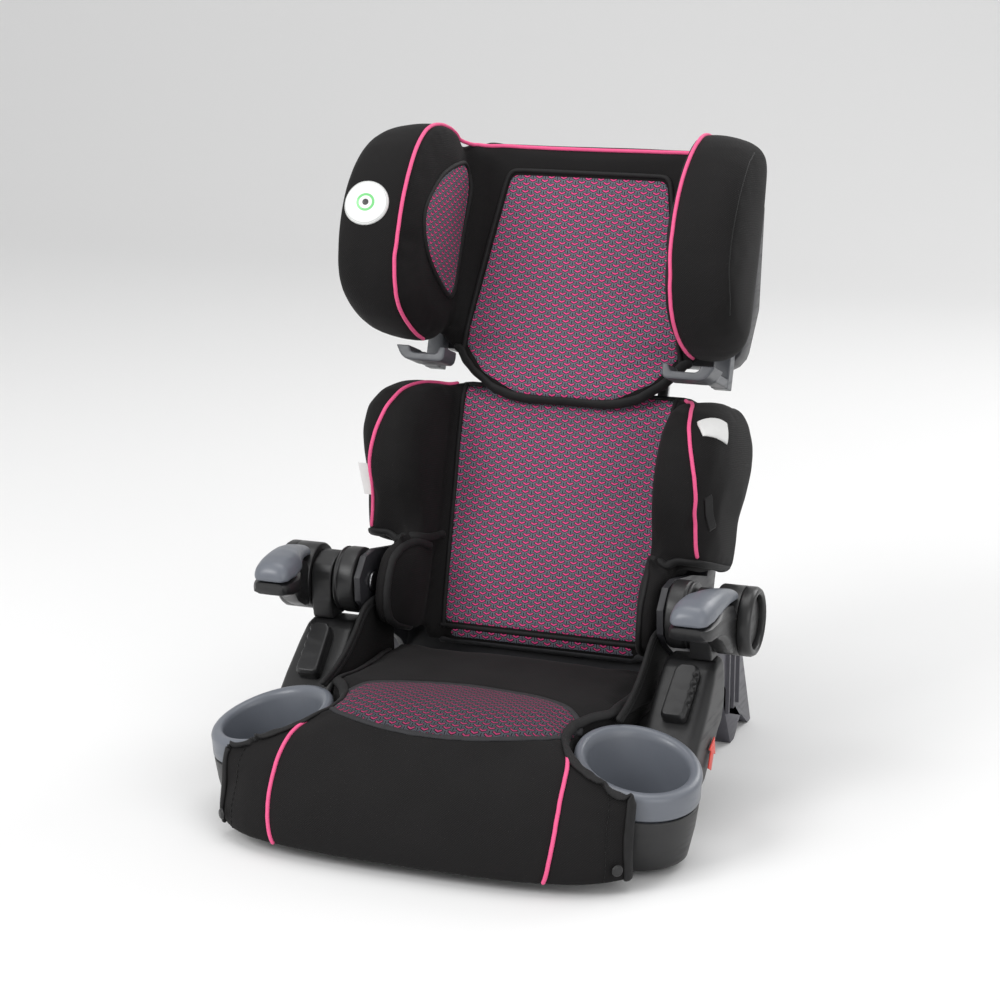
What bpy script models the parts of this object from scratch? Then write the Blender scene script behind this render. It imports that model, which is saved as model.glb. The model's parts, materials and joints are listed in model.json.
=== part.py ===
"""Folding high-back booster: base, back that folds forward, sliding head support and two flip-up armrests.

Metres, +Z up, -Y is the front, +X is the right-hand side as seen from the front.
The origin is on the flat underside of the base, on the centre plane.
Everything on the back and the head support is set out in back coordinates (x, s, n):
s runs up along the reclined back from the fold axis and n runs rearwards, square to it.
"""

import math

import bmesh
import bpy
from mathutils import Vector

# ---------------------------------------------------------------- driving dimensions
AXIS_Y = 0.045  # the fold axis, which the armrests share
AXIS_Z = 0.186
FOLD_PIVOT = (0.0, AXIS_Y, AXIS_Z)
LEAN = math.radians(19.5)  # recline of the back from vertical
GAP = 0.0005  # clearance left between neighbouring pieces
WALL = 0.003  # moulded wall thickness

BASE_FRONT, BASE_REAR = -0.222, 0.106
BASE_HALF, BASE_NOSE_HALF = 0.186, 0.118
BASE_TOP = 0.080
FLOOR_PLATE = 0.0040

CUP_X, CUP_Y, CUP_RIM_Z = 0.187, -0.1345, 0.0935
CUP_R = 0.060
CUP_TILT_X, CUP_TILT_Y = -0.198, 0.170  # slope of the rim plane, outward and forward

HUB_R = 0.0345
HUB_FACE = 0.2520  # outer face of the hub rings

BACK_HALF = 0.1980  # outer half width of the back at its shoulders
HIP_HALF = 0.1885  # and lower down, between the armrests
MESH_N = 0.0920  # front surface of the centre pads
BACK_TOP_S = 0.2300
HEAD_HALF = 0.2130

# ---------------------------------------------------------------- colours
# (red, green, blue), roughness, metallic
PALETTE = {
    "black_plastic": ((0.030, 0.030, 0.031), 0.42, 0.0),
    "grey_plastic": ((0.155, 0.172, 0.200), 0.35, 0.0),
    "dark_grey_plastic": ((0.085, 0.085, 0.100), 0.45, 0.0),
    "black_fabric": ((0.018, 0.017, 0.018), 0.90, 0.0),
    "steel": ((0.560, 0.560, 0.580), 0.30, 1.0),
    "red_plastic": ((0.800, 0.060, 0.035), 0.40, 0.0),
}


# ---------------------------------------------------------------- helpers
def clear_scene():
    for leftover in list(bpy.data.objects):
        bpy.data.objects.remove(leftover, do_unlink=True)


def on_back(x, s, n):
    """World point of a point given in back coordinates."""
    return Vector(
        (
            x,
            AXIS_Y + s * math.sin(LEAN) + n * math.cos(LEAN),
            AXIS_Z + s * math.cos(LEAN) - n * math.sin(LEAN),
        )
    )


def material_for(name, palette):
    colour, roughness, metallic = PALETTE[palette]
    material = bpy.data.materials.new(name + "_finish")
    material.use_nodes = True
    shader = material.node_tree.nodes["Principled BSDF"]
    shader.inputs["Base Color"].default_value = (*colour, 1.0)
    shader.inputs["Roughness"].default_value = roughness
    shader.inputs["Metallic"].default_value = metallic
    material.diffuse_color = (*colour, 1.0)
    return material


def add_object(name, mesh_data, palette, pivot=(0.0, 0.0, 0.0)):
    """Links a finished bmesh as an object whose origin is at the pivot."""
    pivot = Vector(pivot)
    bmesh.ops.translate(mesh_data, verts=mesh_data.verts, vec=-pivot)
    mesh_data.normal_update()
    bmesh.ops.recalc_face_normals(mesh_data, faces=mesh_data.faces)
    mesh = bpy.data.meshes.new(name)
    mesh_data.to_mesh(mesh)
    mesh_data.free()
    mesh.shade_smooth()
    mesh.set_sharp_from_angle(angle=math.radians(35))
    obj = bpy.data.objects.new(name, mesh)
    obj.location = pivot
    mesh.materials.append(material_for(name, palette))
    bpy.context.scene.collection.objects.link(obj)
    return obj


def loft(rings, close_ends=True):
    """A closed skin through rings of equal point count, ended by a flat cap or by a single point."""
    skin = bmesh.new()
    rows = [[skin.verts.new(point) for point in ring] for ring in rings]
    for lower, upper in zip(rows, rows[1:]):
        join_rows(skin, lower, upper)
    if close_ends:
        for row in (rows[0], rows[-1]):
            if len(row) > 2:
                skin.faces.new(row)
    return skin


def join_rows(skin, lower, upper):
    if len(lower) == 1 or len(upper) == 1:
        tip, ring = (lower[0], upper) if len(lower) == 1 else (upper[0], lower)
        for index in range(len(ring)):
            skin.faces.new((tip, ring[index], ring[(index + 1) % len(ring)]))
        return
    count = len(lower)
    for index in range(count):
        after = (index + 1) % count
        skin.faces.new((lower[index], lower[after], upper[after], upper[index]))


def prism(outline, place, low, high):
    """A flat outline drawn out between two heights; place(u, v, height) gives the world point."""
    return loft([[place(u, v, low) for u, v in outline], [place(u, v, high) for u, v in outline]])


def rounded_outline(corners, steps=4):
    """A closed outline from (u, v, radius) corners, each rounded by its own radius."""
    outline = []
    count = len(corners)
    for index in range(count):
        u, v, radius = corners[index]
        here = Vector((u, v))
        if radius <= 0:
            outline.append((u, v))
            continue
        before = (Vector(corners[index - 1][:2]) - here).normalized()
        after = (Vector(corners[(index + 1) % count][:2]) - here).normalized()
        half_angle = before.angle(after) / 2
        reach = radius / math.tan(half_angle)
        start, end = here + before * reach, here + after * reach
        centre = here + (before + after).normalized() * (radius / math.sin(half_angle))
        for step in range(steps + 1):
            spoke = start.lerp(end, step / steps) - centre
            point = centre + spoke.normalized() * radius
            outline.append((point.x, point.y))
    return outline


def superellipse(count, half_u, half_v, power=3.0, centre=(0.0, 0.0)):
    """A rounded-rectangle loop with evenly spread angles."""
    loop = []
    for index in range(count):
        angle = math.tau * (index + 0.5) / count
        cosine, sine = math.cos(angle), math.sin(angle)
        scale = (abs(cosine) ** power + abs(sine) ** power) ** (-1 / power)
        loop.append((centre[0] + half_u * scale * cosine, centre[1] + half_v * scale * sine))
    return loop


def between(a, b, c, d, t):
    """The point a share t of the way from b to c on the smooth curve through a, b, c and d."""
    cubic = (3 * b - a - 3 * c + d) * t**3
    square = (2 * a - 5 * b + 4 * c - d) * t**2
    return 0.5 * (2 * b + (c - a) * t + square + cubic)


def smooth_loop(knots, per_knot=3):
    """Points on a closed curve through the knots."""
    knots = [Vector(knot) for knot in knots]
    count = len(knots)
    points = []
    for index in range(count):
        a, b = knots[index - 1], knots[index]
        c, d = knots[(index + 1) % count], knots[(index + 2) % count]
        points += [between(a, b, c, d, step / per_knot) for step in range(per_knot)]
    return points


def turned(profile, segments, place):
    """A turned solid from a (radius, height) profile; place(u, v, height) gives the world point."""
    rings = []
    for radius, height in profile:
        if radius <= 0:
            rings.append([place(0.0, 0.0, height)])
            continue
        angles = (math.tau * (step + 0.5) / segments for step in range(segments))
        rings.append([place(radius * math.cos(a), radius * math.sin(a), height) for a in angles])
    return loft(rings, close_ends=False)


def ring_solid(profile, segments, place):
    """A turned ring: the profile of (radius, height) is a closed loop clear of the axis."""
    skin = bmesh.new()
    rows = []
    for step in range(segments):
        angle = math.tau * (step + 0.5) / segments
        across, deep = math.cos(angle), math.sin(angle)
        row = [place(radius * across, radius * deep, height) for radius, height in profile]
        rows.append([skin.verts.new(point) for point in row])
    for index in range(segments):
        join_rows(skin, rows[index], rows[(index + 1) % segments])
    return skin


def box(low, high):
    skin = bmesh.new()
    corners = bmesh.ops.create_cube(skin, size=1.0)["verts"]
    for corner in corners:
        for axis in range(3):
            corner.co[axis] = high[axis] if corner.co[axis] > 0 else low[axis]
    return skin


def back_box(low, high):
    """A box in back coordinates."""
    skin = box(low, high)
    for corner in skin.verts:
        corner.co = on_back(*corner.co)
    return skin


def cutter(name, mesh_data):
    mesh = bpy.data.meshes.new(name)
    mesh_data.normal_update()
    bmesh.ops.recalc_face_normals(mesh_data, faces=mesh_data.faces)
    mesh_data.to_mesh(mesh)
    mesh_data.free()
    obj = bpy.data.objects.new(name, mesh)
    obj.hide_render = True
    obj.display_type = "WIRE"
    bpy.context.scene.collection.objects.link(obj)
    return obj


def combine(obj, other, operation):
    """Adds a Boolean by a hidden helper, which is carried along by the object."""
    other.parent = obj
    other.matrix_parent_inverse = obj.matrix_basis.inverted()
    modifier = obj.modifiers.new(operation.lower() + "_" + other.name, "BOOLEAN")
    modifier.operation = operation
    modifier.object = other


def both_sides(build):
    for label, side in (("left", -1), ("right", 1)):
        build(label, side)


def side_point(side):
    """place() for outlines drawn in the (y, z) plane and drawn out along x, away from the centre."""
    return lambda y, z, x: Vector((side * x, y, z))


def hub_point(side):
    """place() for shapes turned about the fold axis; height is the distance from the centre plane."""
    return lambda u, v, x: Vector((side * x, AXIS_Y + u, AXIS_Z + v))


def hub_pivot(side, x):
    return (side * x, AXIS_Y, AXIS_Z)


def across_back(s, n, x):
    """place() for outlines drawn in the back's own side view and drawn out across it."""
    return on_back(x, s, n)


# ---------------------------------------------------------------- base
def base_outline(inset=0.0):
    half, nose = BASE_HALF - inset, BASE_NOSE_HALF - inset
    front, rear = BASE_FRONT + inset, BASE_REAR - inset
    step = -0.066 + inset
    right = [(nose, front, 0.020), (nose, step, 0.0), (half, step, 0.008), (half, rear, 0.015)]
    left = [(-x, y, radius) for x, y, radius in reversed(right)]
    return rounded_outline(right + left)


def level(x, y, z):
    """place() for outlines drawn in plan and drawn up."""
    return Vector((x, y, z))


def base_shell():
    skin = prism(base_outline(), level, FLOOR_PLATE + GAP, BASE_TOP)
    shell = add_object("base_shell", skin, "black_plastic")
    hollow = prism(base_outline(WALL), level, -0.01, BASE_TOP - WALL)
    combine(shell, cutter("base_hollow", hollow), "DIFFERENCE")


def base_floor_plate():
    add_object("base_floor_plate", prism(base_outline(), level, 0.0, FLOOR_PLATE), "black_plastic")


def cup_place(side, floor_z):
    """place() for cup rings: the rings tilt more towards the rim and stand level at floor_z."""

    def place(u, v, height):
        share = max(0.0, (height - floor_z) / (CUP_RIM_Z - floor_z))
        tilt = (CUP_TILT_X * u + CUP_TILT_Y * v) * share
        return Vector((side * (CUP_X + u), CUP_Y + v, height + tilt))

    return place


def cup_holder(label, side):
    profile = [
        (0.0, 0.0240), (0.0465, 0.0240), (0.0490, 0.0270), (0.0520, 0.0660), (0.0575, 0.0680),
        (0.0590, 0.0900), (0.0600, 0.0935), (0.0585, 0.0965), (0.0550, 0.0950),
        (0.0530, 0.0900), (0.0470, 0.0310), (0.0440, 0.0275), (0.0, 0.0275),
    ]
    add_object("cup_holder_" + label, turned(profile, 28, cup_place(side, 0.024)), "grey_plastic")


def cup_base(label, side):
    profile = [
        (0.0, 0.0060), (0.0440, 0.0060), (0.0475, 0.0090), (0.0535, 0.0400), (0.0572, 0.0668),
        (0.0535, 0.0650), (0.0505, 0.0300), (0.0485, 0.0205), (0.0, 0.0205),
    ]
    add_object("cup_base_" + label, turned(profile, 28, cup_place(side, 0.006)), "black_plastic")


FACE_FOOT = Vector((0.0, -0.0620, 0.0830))  # bottom and top of the upright's sloping face
FACE_HEAD = Vector((0.0, 0.0180, 0.1500))
FACE_ALONG = (FACE_HEAD - FACE_FOOT).normalized()
FACE_OUT = Vector((0.0, -FACE_ALONG.z, FACE_ALONG.y))


def upright(label, side):
    """Side upright that rises behind the cup holder to the hub; its front face slopes."""
    sections = [
        # y front, y rear, z, x inner, x outer
        (-0.0620, -0.0300, 0.0200, 0.1900, 0.2120),
        (-0.0650, -0.0100, 0.0400, 0.1895, 0.2180),
        (-0.0640, 0.0200, 0.0800, 0.1892, 0.2215),
        (-0.0585, 0.0330, 0.0860, 0.1650, 0.2215),
        (-0.0377, 0.0420, 0.1034, 0.1640, 0.2215),
        (-0.0087, 0.0480, 0.1277, 0.1640, 0.2200),
        (0.0093, 0.0500, 0.1428, 0.1650, 0.2180),
        (0.0200, 0.0480, 0.1480, 0.1670, 0.2140),
    ]
    rings = []
    for front, rear, z, inner, outer in sections:
        corners = [(inner, rear, 0.003), (inner, front, 0.006), (outer, front, 0.010), (outer, rear, 0.006)]
        rings.append([Vector((side * x, y, z)) for x, y in rounded_outline(corners, 3)])
    add_object("upright_" + label, loft(rings), "black_plastic")


def side_flap(label, side):
    """Sewn side wall of the seat cover, between the cushion and the upright."""
    corners = [(-0.034, 0.1210, 0.0), (0.012, 0.1660, 0.014), (0.060, 0.1660, 0.010), (0.088, 0.1210, 0.0)]
    outline = rounded_outline(corners, 3)
    add_object("side_flap_" + label, prism(outline, side_point(side), 0.1520, 0.1550), "black_fabric")


def hub_bracket(label, side):
    """Fixed ear on top of the upright that carries the fold axis."""
    corners = [
        (0.0200, 0.1485, 0.002), (0.0500, 0.1485, 0.004), (0.0745, 0.1700, 0.012),
        (0.0745, 0.2050, 0.024), (0.0450, 0.2165, 0.024), (0.0155, 0.2050, 0.020),
        (0.0150, 0.1700, 0.010),
    ]
    outline = rounded_outline(corners, 3)
    ear_solid = prism(outline, side_point(side), 0.1905, 0.2125)
    ear = add_object("hub_bracket_" + label, ear_solid, "black_plastic")
    hole = turned([(0.0, 0.18), (0.0066, 0.18), (0.0066, 0.23), (0.0, 0.23)], 20, hub_point(side))
    combine(ear, cutter("ear_hole_" + label, hole), "DIFFERENCE")


def release_handle(label, side):
    """Ridged handle on the sloping face of the upright; it slides up to free the back."""
    length, half, tall = 0.0620, 0.0125, 0.0130
    foot = FACE_FOOT + FACE_ALONG * 0.0300 + FACE_OUT * GAP + Vector((side * 0.1920, 0.0, 0.0))
    corners = [
        (-half, 0.0, 0.005), (half, 0.0, 0.005),
        (half + 0.002, length, 0.006), (-half + 0.003, length, 0.009),
    ]
    outline = rounded_outline(corners, 3)
    place = lambda u, v, h: foot + Vector((side * u, 0.0, 0.0)) + FACE_ALONG * v + FACE_OUT * h
    rings = [[place(u, v, h) for u, v in outline] for h in (0.0, tall - 0.004)]
    rings.append([place(u * 0.84, length / 2 + (v - length / 2) * 0.93, tall) for u, v in outline])
    handle = add_object("release_handle_" + label, loft(rings), "black_plastic", pivot=foot)
    for notch in range(4):
        centre = 0.018 + 0.0105 * notch
        groove = turned(
            [(0.0, 0.004), (0.0034, 0.004), (0.0034, 0.03), (0.0, 0.03)],
            12,
            lambda u, v, h, centre=centre: place(0.0140 + u, centre + v, h),
        )
        combine(handle, cutter(f"grip_notch_{label}_{notch}", groove), "DIFFERENCE")


def belt_arrow(label, side):
    """Red arrow plate on the outer face of the upright that shows where the lap belt runs."""
    tip, shoulder, stem, tail = 0.017, 0.002, 0.0055, -0.015
    points = [
        (0, tip), (0.012, shoulder), (stem, shoulder), (stem, tail),
        (-stem, tail), (-stem, shoulder), (-0.012, shoulder),
    ]
    turn = math.radians(-28)
    outline = []
    for u, v in points:
        along = u * math.cos(turn) - v * math.sin(turn)
        up = u * math.sin(turn) + v * math.cos(turn)
        outline.append((along - 0.012, up + 0.066))
    add_object("belt_arrow_" + label, prism(outline, side_point(side), 0.2225, 0.2240), "red_plastic")


SEAT_HALF = 0.2070


def apron_shift(x):
    """How far the front of the apron lies behind its middle, at a distance x from the centre."""
    share = min(1.0, abs(x) / SEAT_HALF)
    return 0.034 * share**3.2 + 0.014 * max(0.0, (share - 0.80) / 0.20) ** 2


def seat_section(x):
    """Closed (y, z) loop of the seat cushion and its front apron at a distance x from the centre."""
    share = min(1.0, abs(x) / SEAT_HALF)
    shift = apron_shift(x)
    drop = 0.024 * share**3
    crown = 0.004 * (1 - share**2)
    inner_y = -0.2260 + 0.75 * shift
    return [
        (0.098, 0.100), (0.094, 0.110), (0.060, 0.113 + crown), (0.000, 0.115 + crown),
        (-0.060, 0.119 + crown), (-0.120, 0.124 + crown - drop * 0.5),
        (-0.165, 0.124 + crown - drop), (-0.200, 0.114 - drop),
        (-0.228 + shift * 0.4, 0.096 - drop), (-0.250 + shift * 0.9, 0.066 - drop * 0.5),
        (-0.261 + shift, 0.036), (-0.263 + shift, 0.015), (-0.257 + shift, 0.007),
        (inner_y, 0.007), (inner_y, 0.0825), (0.098, 0.0825),
    ]


def seat_cushion():
    half = SEAT_HALF
    rings = []
    columns = 22
    for step in range(columns + 1):
        x = -half + 2 * half * step / columns
        rings.append([Vector((x, y, z)) for y, z in seat_section(x)])
    cushion = add_object("seat_cushion", loft(rings), "black_fabric")
    for side in (-1, 1):
        combine(cushion, cutter(f"cup_clearance_{side}", cup_clearance(side)), "DIFFERENCE")


def cup_clearance(side):
    """Space beside the cushion: round the cup holder in front, then straight back past the upright."""
    radius, inner_x, outer_x = 0.0640, 0.1508, 0.300
    first = math.acos((inner_x - CUP_X) / radius)
    last = math.radians(335)
    outline = [(outer_x, 0.200), (inner_x, 0.200)]
    steps = 18
    for step in range(steps + 1):
        angle = first + (last - first) * step / steps
        outline.append((CUP_X + radius * math.cos(angle), CUP_Y + radius * math.sin(angle)))
    outline.append((outer_x, CUP_Y + radius * math.sin(last)))
    return prism(outline, lambda x, y, z: Vector((side * x, y, z)), -0.050, 0.200)


def cover_snap(label, side):
    """Snap that fastens the end of the apron."""
    x, z = 0.1960, 0.0260
    slope = (apron_shift(x + 0.001) - apron_shift(x - 0.001)) / 0.002
    outward = Vector((slope, -1.0, 0.0)).normalized()
    across = Vector((1.0, slope, 0.0)).normalized()
    seat = Vector((x, -0.2620 + apron_shift(x), z)) + outward * 0.0016

    def place(u, v, height):
        point = seat + across * u + Vector((0.0, 0.0, v)) + outward * height
        return Vector((side * point.x, point.y, point.z))

    profile = [(0.0, 0.0), (0.0055, 0.0), (0.0055, 0.0012), (0.0040, 0.0026), (0.0, 0.0030)]
    add_object("cover_snap_" + label, turned(profile, 16, place), "black_plastic")


# ---------------------------------------------------------------- hubs and armrests
def fold_drum(label, side):
    """Round hinge housing of the back, between the back frame and the bracket."""
    profile = [
        (0.0070, 0.1660), (0.0325, 0.1660), (0.0340, 0.1675), (0.0340, 0.1815), (0.0325, 0.1830),
        (0.0325, 0.1845), (0.0340, 0.1860), (0.0325, 0.1880), (0.0070, 0.1880),
    ]
    drum = ring_solid(profile, 32, hub_point(side))
    add_object("fold_drum_" + label, drum, "black_plastic", hub_pivot(side, 0.177))


def hinge_pin(label, side):
    """Steel pin that the back and the armrest turn on, with a head inside the back frame."""
    profile = [
        (0.0, 0.1545), (0.0100, 0.1545), (0.0100, 0.1570), (0.0060, 0.1570), (0.0060, 0.2350),
        (0.0, 0.2350),
    ]
    add_object("hinge_pin_" + label, turned(profile, 20, hub_point(side)), "steel", hub_pivot(side, 0.19))


def arm_body(label, side):
    """Black lower half of the armrest: a pad that runs back into a ring round the hub."""
    rows = [
        # y, z low, z high, x in, x out
        (-0.0790, 0.2050, 0.2112, 0.2000, 0.2290),
        (-0.0755, 0.1985, 0.2116, 0.1965, 0.2330),
        (-0.0650, 0.1950, 0.2122, 0.1945, 0.2365),
        (-0.0480, 0.1940, 0.2134, 0.1945, 0.2378),
        (-0.0330, 0.1910, 0.2150, 0.2010, 0.2380),
        (-0.0180, 0.1830, 0.2160, 0.2105, 0.2382),
        (-0.0040, 0.1710, 0.2145, 0.2140, 0.2382),
        (0.0120, 0.1620, 0.2110, 0.2142, 0.2382),
        (0.0200, 0.1600, 0.2080, 0.2142, 0.2382),
    ]
    rings = []
    for y, low, high, inner, outer in rows:
        centre = ((inner + outer) / 2, (low + high) / 2)
        loop = superellipse(16, (outer - inner) / 2, (high - low) / 2, 5.0, centre)
        rings.append([Vector((side * x, y, z)) for x, z in loop])
    body = add_object("arm_body_" + label, loft(rings), "black_plastic", hub_pivot(side, 0.225))
    collar_profile = [(0.0, 0.2135), (0.0335, 0.2135), (0.0345, 0.2150), (0.0345, 0.2380), (0.0, 0.2380)]
    collar = turned(collar_profile, 32, hub_point(side))
    combine(body, cutter("arm_collar_" + label, collar), "UNION")
    bore = turned([(0.0, 0.2), (0.0065, 0.2), (0.0065, 0.26), (0.0, 0.26)], 20, hub_point(side))
    combine(body, cutter("arm_bore_" + label, bore), "DIFFERENCE")


def arm_cap(label, side):
    """Grey upper half of the armrest, tapering towards the hub."""
    rows = [
        # y, z low, z high, x in, x out
        (-0.0800, 0.2118, 0.2170, 0.2030, 0.2260),
        (-0.0785, 0.2119, 0.2235, 0.1990, 0.2300),
        (-0.0720, 0.2123, 0.2305, 0.1955, 0.2345),
        (-0.0560, 0.2134, 0.2345, 0.1942, 0.2370),
        (-0.0380, 0.2155, 0.2355, 0.1965, 0.2378),
        (-0.0220, 0.2168, 0.2345, 0.2040, 0.2380),
        (-0.0040, 0.2166, 0.2315, 0.2100, 0.2382),
        (0.0120, 0.2150, 0.2270, 0.2135, 0.2382),
        (0.0260, 0.2130, 0.2230, 0.2150, 0.2382),
    ]
    rings = []
    for y, low, high, inner, outer in rows:
        loop = superellipse(16, (outer - inner) / 2, high - low, 3.0, ((inner + outer) / 2, low))
        rings.append([Vector((side * x, y, max(z, low))) for x, z in loop])
    cap = add_object("arm_cap_" + label, loft(rings), "grey_plastic", hub_pivot(side, 0.215))
    collar = turned([(0.0, 0.19), (0.0352, 0.19), (0.0352, 0.25), (0.0, 0.25)], 32, hub_point(side))
    combine(cap, cutter("cap_collar_" + label, collar), "DIFFERENCE")


def hub_ring(label, side):
    profile = [
        (0.0265, 0.2385), (0.0340, 0.2385), (0.0345, 0.2400), (0.0345, 0.2475), (0.0325, 0.2510),
        (0.0295, 0.2520), (0.0270, 0.2505), (0.0265, 0.2480),
    ]
    ring = ring_solid(profile, 32, hub_point(side))
    add_object("hub_ring_" + label, ring, "black_plastic", hub_pivot(side, 0.245))


def hub_disc(label, side):
    profile = [(0.0, 0.2385), (0.0255, 0.2385), (0.0258, 0.2440), (0.0240, 0.2455), (0.0, 0.2462)]
    disc = turned(profile, 32, hub_point(side))
    add_object("hub_disc_" + label, disc, "dark_grey_plastic", hub_pivot(side, 0.242))


# ---------------------------------------------------------------- back
def back_frame():
    """Moulded back panel: a plate with side walls and hinge cheeks, open towards the rear."""
    half = 0.1640
    corners = [
        (half, -0.080, 0.012), (half, 0.150, 0.020), (0.1400, 0.228, 0.030),
        (-0.1400, 0.228, 0.030), (-half, 0.150, 0.020), (-half, -0.080, 0.012),
    ]
    outline = rounded_outline(corners, 4)
    board = prism(outline, on_back, 0.1180, 0.1500)
    frame = add_object("back_frame", board, "dark_grey_plastic", FOLD_PIVOT)
    inset = [(u * 0.975, 0.074 + (v - 0.074) * 0.970) for u, v in outline]
    combine(frame, cutter("frame_hollow", prism(inset, on_back, 0.1220, 0.1700)), "DIFFERENCE")
    for side in (-1, 1):
        cheek = [
            (0.130, 0.075), (0.130, -0.070), (0.100, -0.055), (0.000, -0.033), (-0.023, -0.023),
            (-0.033, 0.0), (-0.023, 0.023), (0.000, 0.033), (0.060, 0.042), (0.130, 0.046),
        ]
        plate = loft([[on_back(side * x, s, n) for n, s in cheek] for x in (0.1575, 0.1640)])
        combine(frame, cutter(f"hinge_cheek_{side}", plate), "UNION")
        hole = turned([(0.0, 0.14), (0.0066, 0.14), (0.0066, 0.18), (0.0, 0.18)], 20, hub_point(side))
        combine(frame, cutter(f"cheek_hole_{side}", hole), "DIFFERENCE")


def back_cushion():
    """Padded centre of the back between the bolsters."""
    rings = []
    rows = [
        # s, half depth
        (-0.0560, 0.0070), (-0.0530, 0.0100), (-0.0400, 0.0115), (0.0500, 0.0115), (0.1500, 0.0115),
        (0.2100, 0.0112), (0.2270, 0.0095), (BACK_TOP_S, 0.0065),
    ]
    for s, depth in rows:
        half = 0.1175 + 0.004 * (s / 0.23)
        loop = superellipse(20, half, depth, 6.0, (0.0, MESH_N + 0.0130))
        rings.append([on_back(x, s, n) for x, n in loop])
    add_object("back_cushion", loft(rings), "black_fabric", FOLD_PIVOT)


def back_bolster(label, side):
    """Side bolster of the back, thick at the shoulder and cut away in an arch over the hub."""
    rows = [
        # s, x in, x out, n front, n rear
        (0.0480, 0.1240, HIP_HALF - 0.002, 0.0300, 0.1400),
        (0.0540, 0.1235, HIP_HALF, 0.0180, 0.1560),
        (0.0750, 0.1240, HIP_HALF, 0.0080, 0.1640),
        (0.1050, 0.1245, HIP_HALF, -0.0060, 0.1660),
        (0.1300, 0.1250, 0.1930, -0.0130, 0.1670),
        (0.1600, 0.1250, BACK_HALF, -0.0150, 0.1670),
        (0.1850, 0.1255, 0.1970, -0.0090, 0.1660),
        (0.2060, 0.1255, 0.1910, 0.0140, 0.1620),
        (0.2200, 0.1260, 0.1820, 0.0480, 0.1540),
        (0.2265, 0.1270, 0.1720, 0.0780, 0.1450),
    ]
    rings = []
    for s, inner, outer, front, rear in rows:
        centre = ((inner + outer) / 2, (front + rear) / 2)
        loop = superellipse(20, (outer - inner) / 2, (rear - front) / 2, 4.0, centre)
        rings.append([on_back(side * x, s, n) for x, n in loop])
    pad = add_object("back_bolster_" + label, loft(rings), "black_fabric", FOLD_PIVOT)
    left, right = sorted((0.0, side * 0.1645))
    keep = back_box((left, -0.1, 0.1175), (right, 0.3, 0.3))
    combine(pad, cutter("frame_side_" + label, keep), "DIFFERENCE")


def hip_pad(label, side):
    """Padded flap at the foot of the bolster, inside the hub."""
    rows = [
        # s, x in, x out, n front, n rear
        (-0.0480, 0.1280, 0.1450, 0.0150, 0.0700),
        (-0.0430, 0.1245, 0.1495, -0.0020, 0.0840),
        (-0.0250, 0.1240, 0.1510, -0.0140, 0.0880),
        (0.0000, 0.1235, 0.1512, -0.0180, 0.0885),
        (0.0250, 0.1235, 0.1512, -0.0120, 0.0885),
        (0.0420, 0.1240, 0.1510, 0.0050, 0.0880),
        (0.0465, 0.1260, 0.1490, 0.0250, 0.0800),
    ]
    rings = []
    for s, inner, outer, front, rear in rows:
        centre = ((inner + outer) / 2, (front + rear) / 2)
        loop = superellipse(18, (outer - inner) / 2, (rear - front) / 2, 4.0, centre)
        rings.append([on_back(side * x, s, n) for x, n in loop])
    add_object("hip_pad_" + label, loft(rings), "black_fabric", FOLD_PIVOT)


def rear_leg(label, side):
    """Leg of the back that reaches down behind the base, with an arch at its foot and ribs outside."""
    corners = [
        (0.1250, 0.1640, 0.004), (0.1480, 0.0900, 0.010), (0.2000, 0.0000, 0.001),
        (0.2150, 0.0000, 0.001),
        (0.2400, 0.0200, 0.006), (0.2700, 0.0000, 0.001), (0.2820, 0.0000, 0.001),
        (0.2400, 0.0900, 0.020),
        (0.2160, 0.1640, 0.004),
    ]
    blade = prism(rounded_outline(corners, 3), side_point(side), 0.1650, 0.1850)
    leg = add_object("rear_leg_" + label, blade, "dark_grey_plastic", FOLD_PIVOT)
    left, right = sorted((side * 0.1840, side * 0.1885))
    for index, y in enumerate((0.177, 0.197, 0.217)):
        rib = box((left, y, 0.040), (right, y + 0.004, 0.120 - 0.012 * index))
        combine(leg, cutter(f"leg_rib_{label}_{index}", rib), "UNION")


def head_rail(label, side):
    """Steel guide rail on the rear of the back that the head support runs on."""
    rail = back_box((side * 0.085 - 0.006, 0.030, 0.1505), (side * 0.085 + 0.006, 0.455, 0.1555))
    add_object("head_rail_" + label, rail, "steel", FOLD_PIVOT)


def height_rack():
    """Notched strip on the rear of the back that sets the head support's height."""
    bottom, top, pitch = 0.070, 0.220, 0.015
    root, land, tip = 0.1505, 0.1540, 0.1570
    outline = [(bottom, root), (bottom, land)]
    for index in range(round((top - bottom) / pitch)):
        start = bottom + pitch * index
        outline += [(start + 0.004, tip), (start + 0.010, tip), (start + 0.0145, land)]
    outline += [(top, land), (top, root)]
    add_object("height_rack", prism(outline, across_back, -0.0120, 0.0120), "grey_plastic", FOLD_PIVOT)


# ---------------------------------------------------------------- head support
WING_CENTRE = (0.372, 0.010)
WING_KNOTS = [
    # s, n round the wing as seen from the side
    (0.4880, 0.0450), (0.4880, 0.0150), (0.4790, -0.0200), (0.4500, -0.0520), (0.4050, -0.0740),
    (0.3550, -0.0810), (0.3100, -0.0720), (0.2800, -0.0500), (0.2630, -0.0120),
    (0.2570, 0.0300), (0.2630, 0.0650),
    (0.3000, 0.0880), (0.3700, 0.0930), (0.4500, 0.0860), (0.4780, 0.0700),
]


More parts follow.
